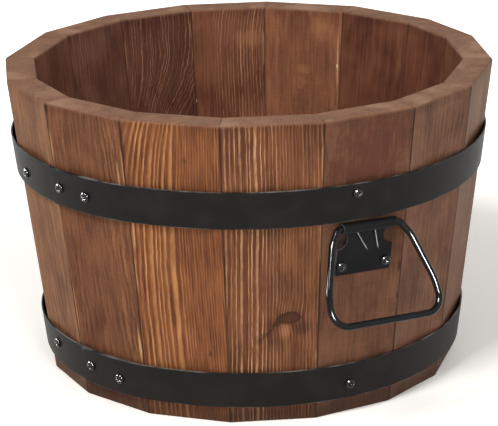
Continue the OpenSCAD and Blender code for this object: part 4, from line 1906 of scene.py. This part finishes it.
@dataclass
class Studio:
    """Pale floor, plain white surroundings, soft lamps and the camera."""

    camera_at: Place = (1.58144, -0.82554, 0.72836)
    view: Place = (-0.83954, 0.43704, -0.32275)
    level: Point = (math.cos(math.radians(62.5)), math.sin(math.radians(62.5)))
    roll: float = 0.0192
    focal_px: float = 2141.0
    shift_px: Point = (1.2, 0.4)
    frame_px: float = 498.0
    sensor_mm: float = 36.0
    floor_size: float = 12.0
    sky: float = 0.38
    near_glow: float = 0.04
    far_glow: float = 0.65
    glow_from: float = 0.32
    glow_to: float = 0.85
    floor_dull: Colour = srgb(232, 229, 222)
    floor_white: Colour = (1.20, 1.165, 1.11, 1.0)
    backdrop: Colour = srgb(255, 255, 255)
    aim: Place = (0.0, 0.0, 0.13)
    lamps: tuple[Lamp, ...] = (Lamp("key", (0.94, -1.77, 2.36), 0.8, 56.0),
                               Lamp("front", (2.30, -0.58, 1.19), 0.5, 17.0),
                               Lamp("fill", (2.3, 1.3, 1.2), 1.8, 8.0),
                               Lamp("back", (-1.6, 1.6, 1.8), 1.5, 9.0))
    glints: tuple[Lamp, ...] = (Lamp("screw_glint", (-1.57, -1.74, 0.80), 1.0, 350.0),
                                Lamp("left_glint", (0.85, -1.48, 2.42), 0.8, 500.0),
                                Lamp("right_glint", (2.40, -0.64, 0.94), 0.7, 500.0))
    glossy: bpy.types.Collection = field(default_factory=lambda: bpy.data.collections.new("glossy"))

    def camera(self) -> None:
        """Makes the camera at the photograph's viewing angle."""
        data = bpy.data.cameras.new("camera")
        data.sensor_fit = "HORIZONTAL"
        data.sensor_width = self.sensor_mm
        data.lens = self.sensor_mm * self.focal_px / self.frame_px
        data.shift_x, data.shift_y = (v / self.frame_px for v in self.shift_px)
        back = -Vector(self.view).normalized()
        right = Vector((*self.level, 0.0))
        up = back.cross(right).normalized()
        right = up.cross(back).normalized()
        image_x = right * math.cos(self.roll) - up * math.sin(self.roll)
        image_y = right * math.sin(self.roll) + up * math.cos(self.roll)
        axes = Matrix((image_x, image_y, back)).transposed()
        made = link("camera", data)
        made.matrix_world = Matrix.Translation(self.camera_at) @ axes.to_4x4()
        bpy.context.scene.camera = made

    def glint(self, lamp: Lamp) -> None:
        """Makes a lamp that shows only as a glint in the glossy pieces, and lights nothing.

        Args:
            lamp: The lamp.
        """
        made = lamp.build(self.aim)
        made.visible_diffuse = False
        made.light_linking.receiver_collection = self.glossy

    def polish(self, *words: str) -> None:
        """Lets pieces show the glint lamps.

        Args:
            *words: Words of which one is in the name of each of these pieces.
        """
        for made in bpy.context.scene.objects:
            if any(word in made.name for word in words):
                self.glossy.objects.link(made)

    @staticmethod
    def seen(s: Shader) -> Sock:
        """Tells rays that show the room from the light that it gives.

        Args:
            s: Shader of the material or the world.

        Returns:
            1 for rays from the camera, from metal and through glass, and 0 for light on the tub.
        """
        camera = s.node("ShaderNodeLightPath", out="Is Camera Ray")
        return camera + camera.sibling("Is Glossy Ray") + camera.sibling("Is Transmission Ray")

    def floor(self) -> None:
        """Makes the floor, which the camera sees as white apart from the tub's shadow."""
        s = Shader(bpy.data.materials.new("floor_white"))
        seen = self.seen(s)
        colour = s.mix(seen, self.floor_dull, self.floor_white)
        lit = s.node("ShaderNodeBsdfDiffuse", inputs={"Color": colour})
        x, y, _ = s.split(s.node("ShaderNodeTexCoord", out="Object"))
        away = (x * x + y * y).root()
        strength = seen * away.band(self.glow_from, self.glow_to, self.near_glow, self.far_glow)
        glow = s.node("ShaderNodeEmission", inputs={"Color": self.backdrop, "Strength": strength})
        both = s.node("ShaderNodeAddShader", inputs={0: lit, 1: glow})
        s.node("ShaderNodeOutputMaterial", inputs={"Surface": both})
        half = self.floor_size / 2
        mesh = bpy.data.meshes.new("floor")
        mesh.from_pydata([(-half, -half, 0), (half, -half, 0), (half, half, 0), (-half, half, 0)],
                         [], [(0, 1, 2, 3)])
        mesh.materials.append(s.owner)
        made = link("floor", mesh)

    def surroundings(self) -> None:
        """Makes the world, white where it is seen and softer as a light."""
        s = Shader(bpy.data.worlds.new("white_room"))
        bpy.context.scene.world = s.owner
        strength = self.sky + self.seen(s) * (1.0 - self.sky)
        light = s.node("ShaderNodeBackground", inputs={"Color": self.backdrop, "Strength": strength})
        s.node("ShaderNodeOutputWorld", inputs={"Surface": light})

    def build(self) -> None:
        """Sets the whole stage."""
        self.camera()
        self.floor()
        self.surroundings()
        for lamp in self.lamps:
            lamp.build(self.aim)
        for lamp in self.glints:
            self.glint(lamp)
        bpy.context.scene.view_settings.view_transform = "Standard"


def main() -> None:
    """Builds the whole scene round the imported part."""
    logging.basicConfig(level=logging.INFO, format="%(message)s")
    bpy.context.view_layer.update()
    studio = Studio()
    studio.build()
    shape = TubShape()
    screws = Screws()
    Staves(shape).build()
    Base(shape).build()
    Hoop("upper_hoop", shape, screws, mid_z=0.191, lap_angle=-79.4,
         lap_places=((3.3, 0.0), (11.8, -0.03)),
         places=((-93.4, -0.09), (-3, 0.235), (90, 0.03), (177, 0.19))).build()
    Hoop("lower_hoop", shape, screws, mid_z=0.031, lap_angle=-77.3,
         lap_places=((3.5, 0.045), (13.5, -0.06)),
         places=((-91.2, 0.125), (-2.2, -0.09), (90, 0.0), (178, 0.06)), paint=srgb(27, 25, 24)).build()
    Handle("right", shape, screws, stave=1).build()
    Handle("left", shape, screws, stave=9).build()
    studio.polish("_wire", "screw_")


if __name__ == "__main__":
    main()
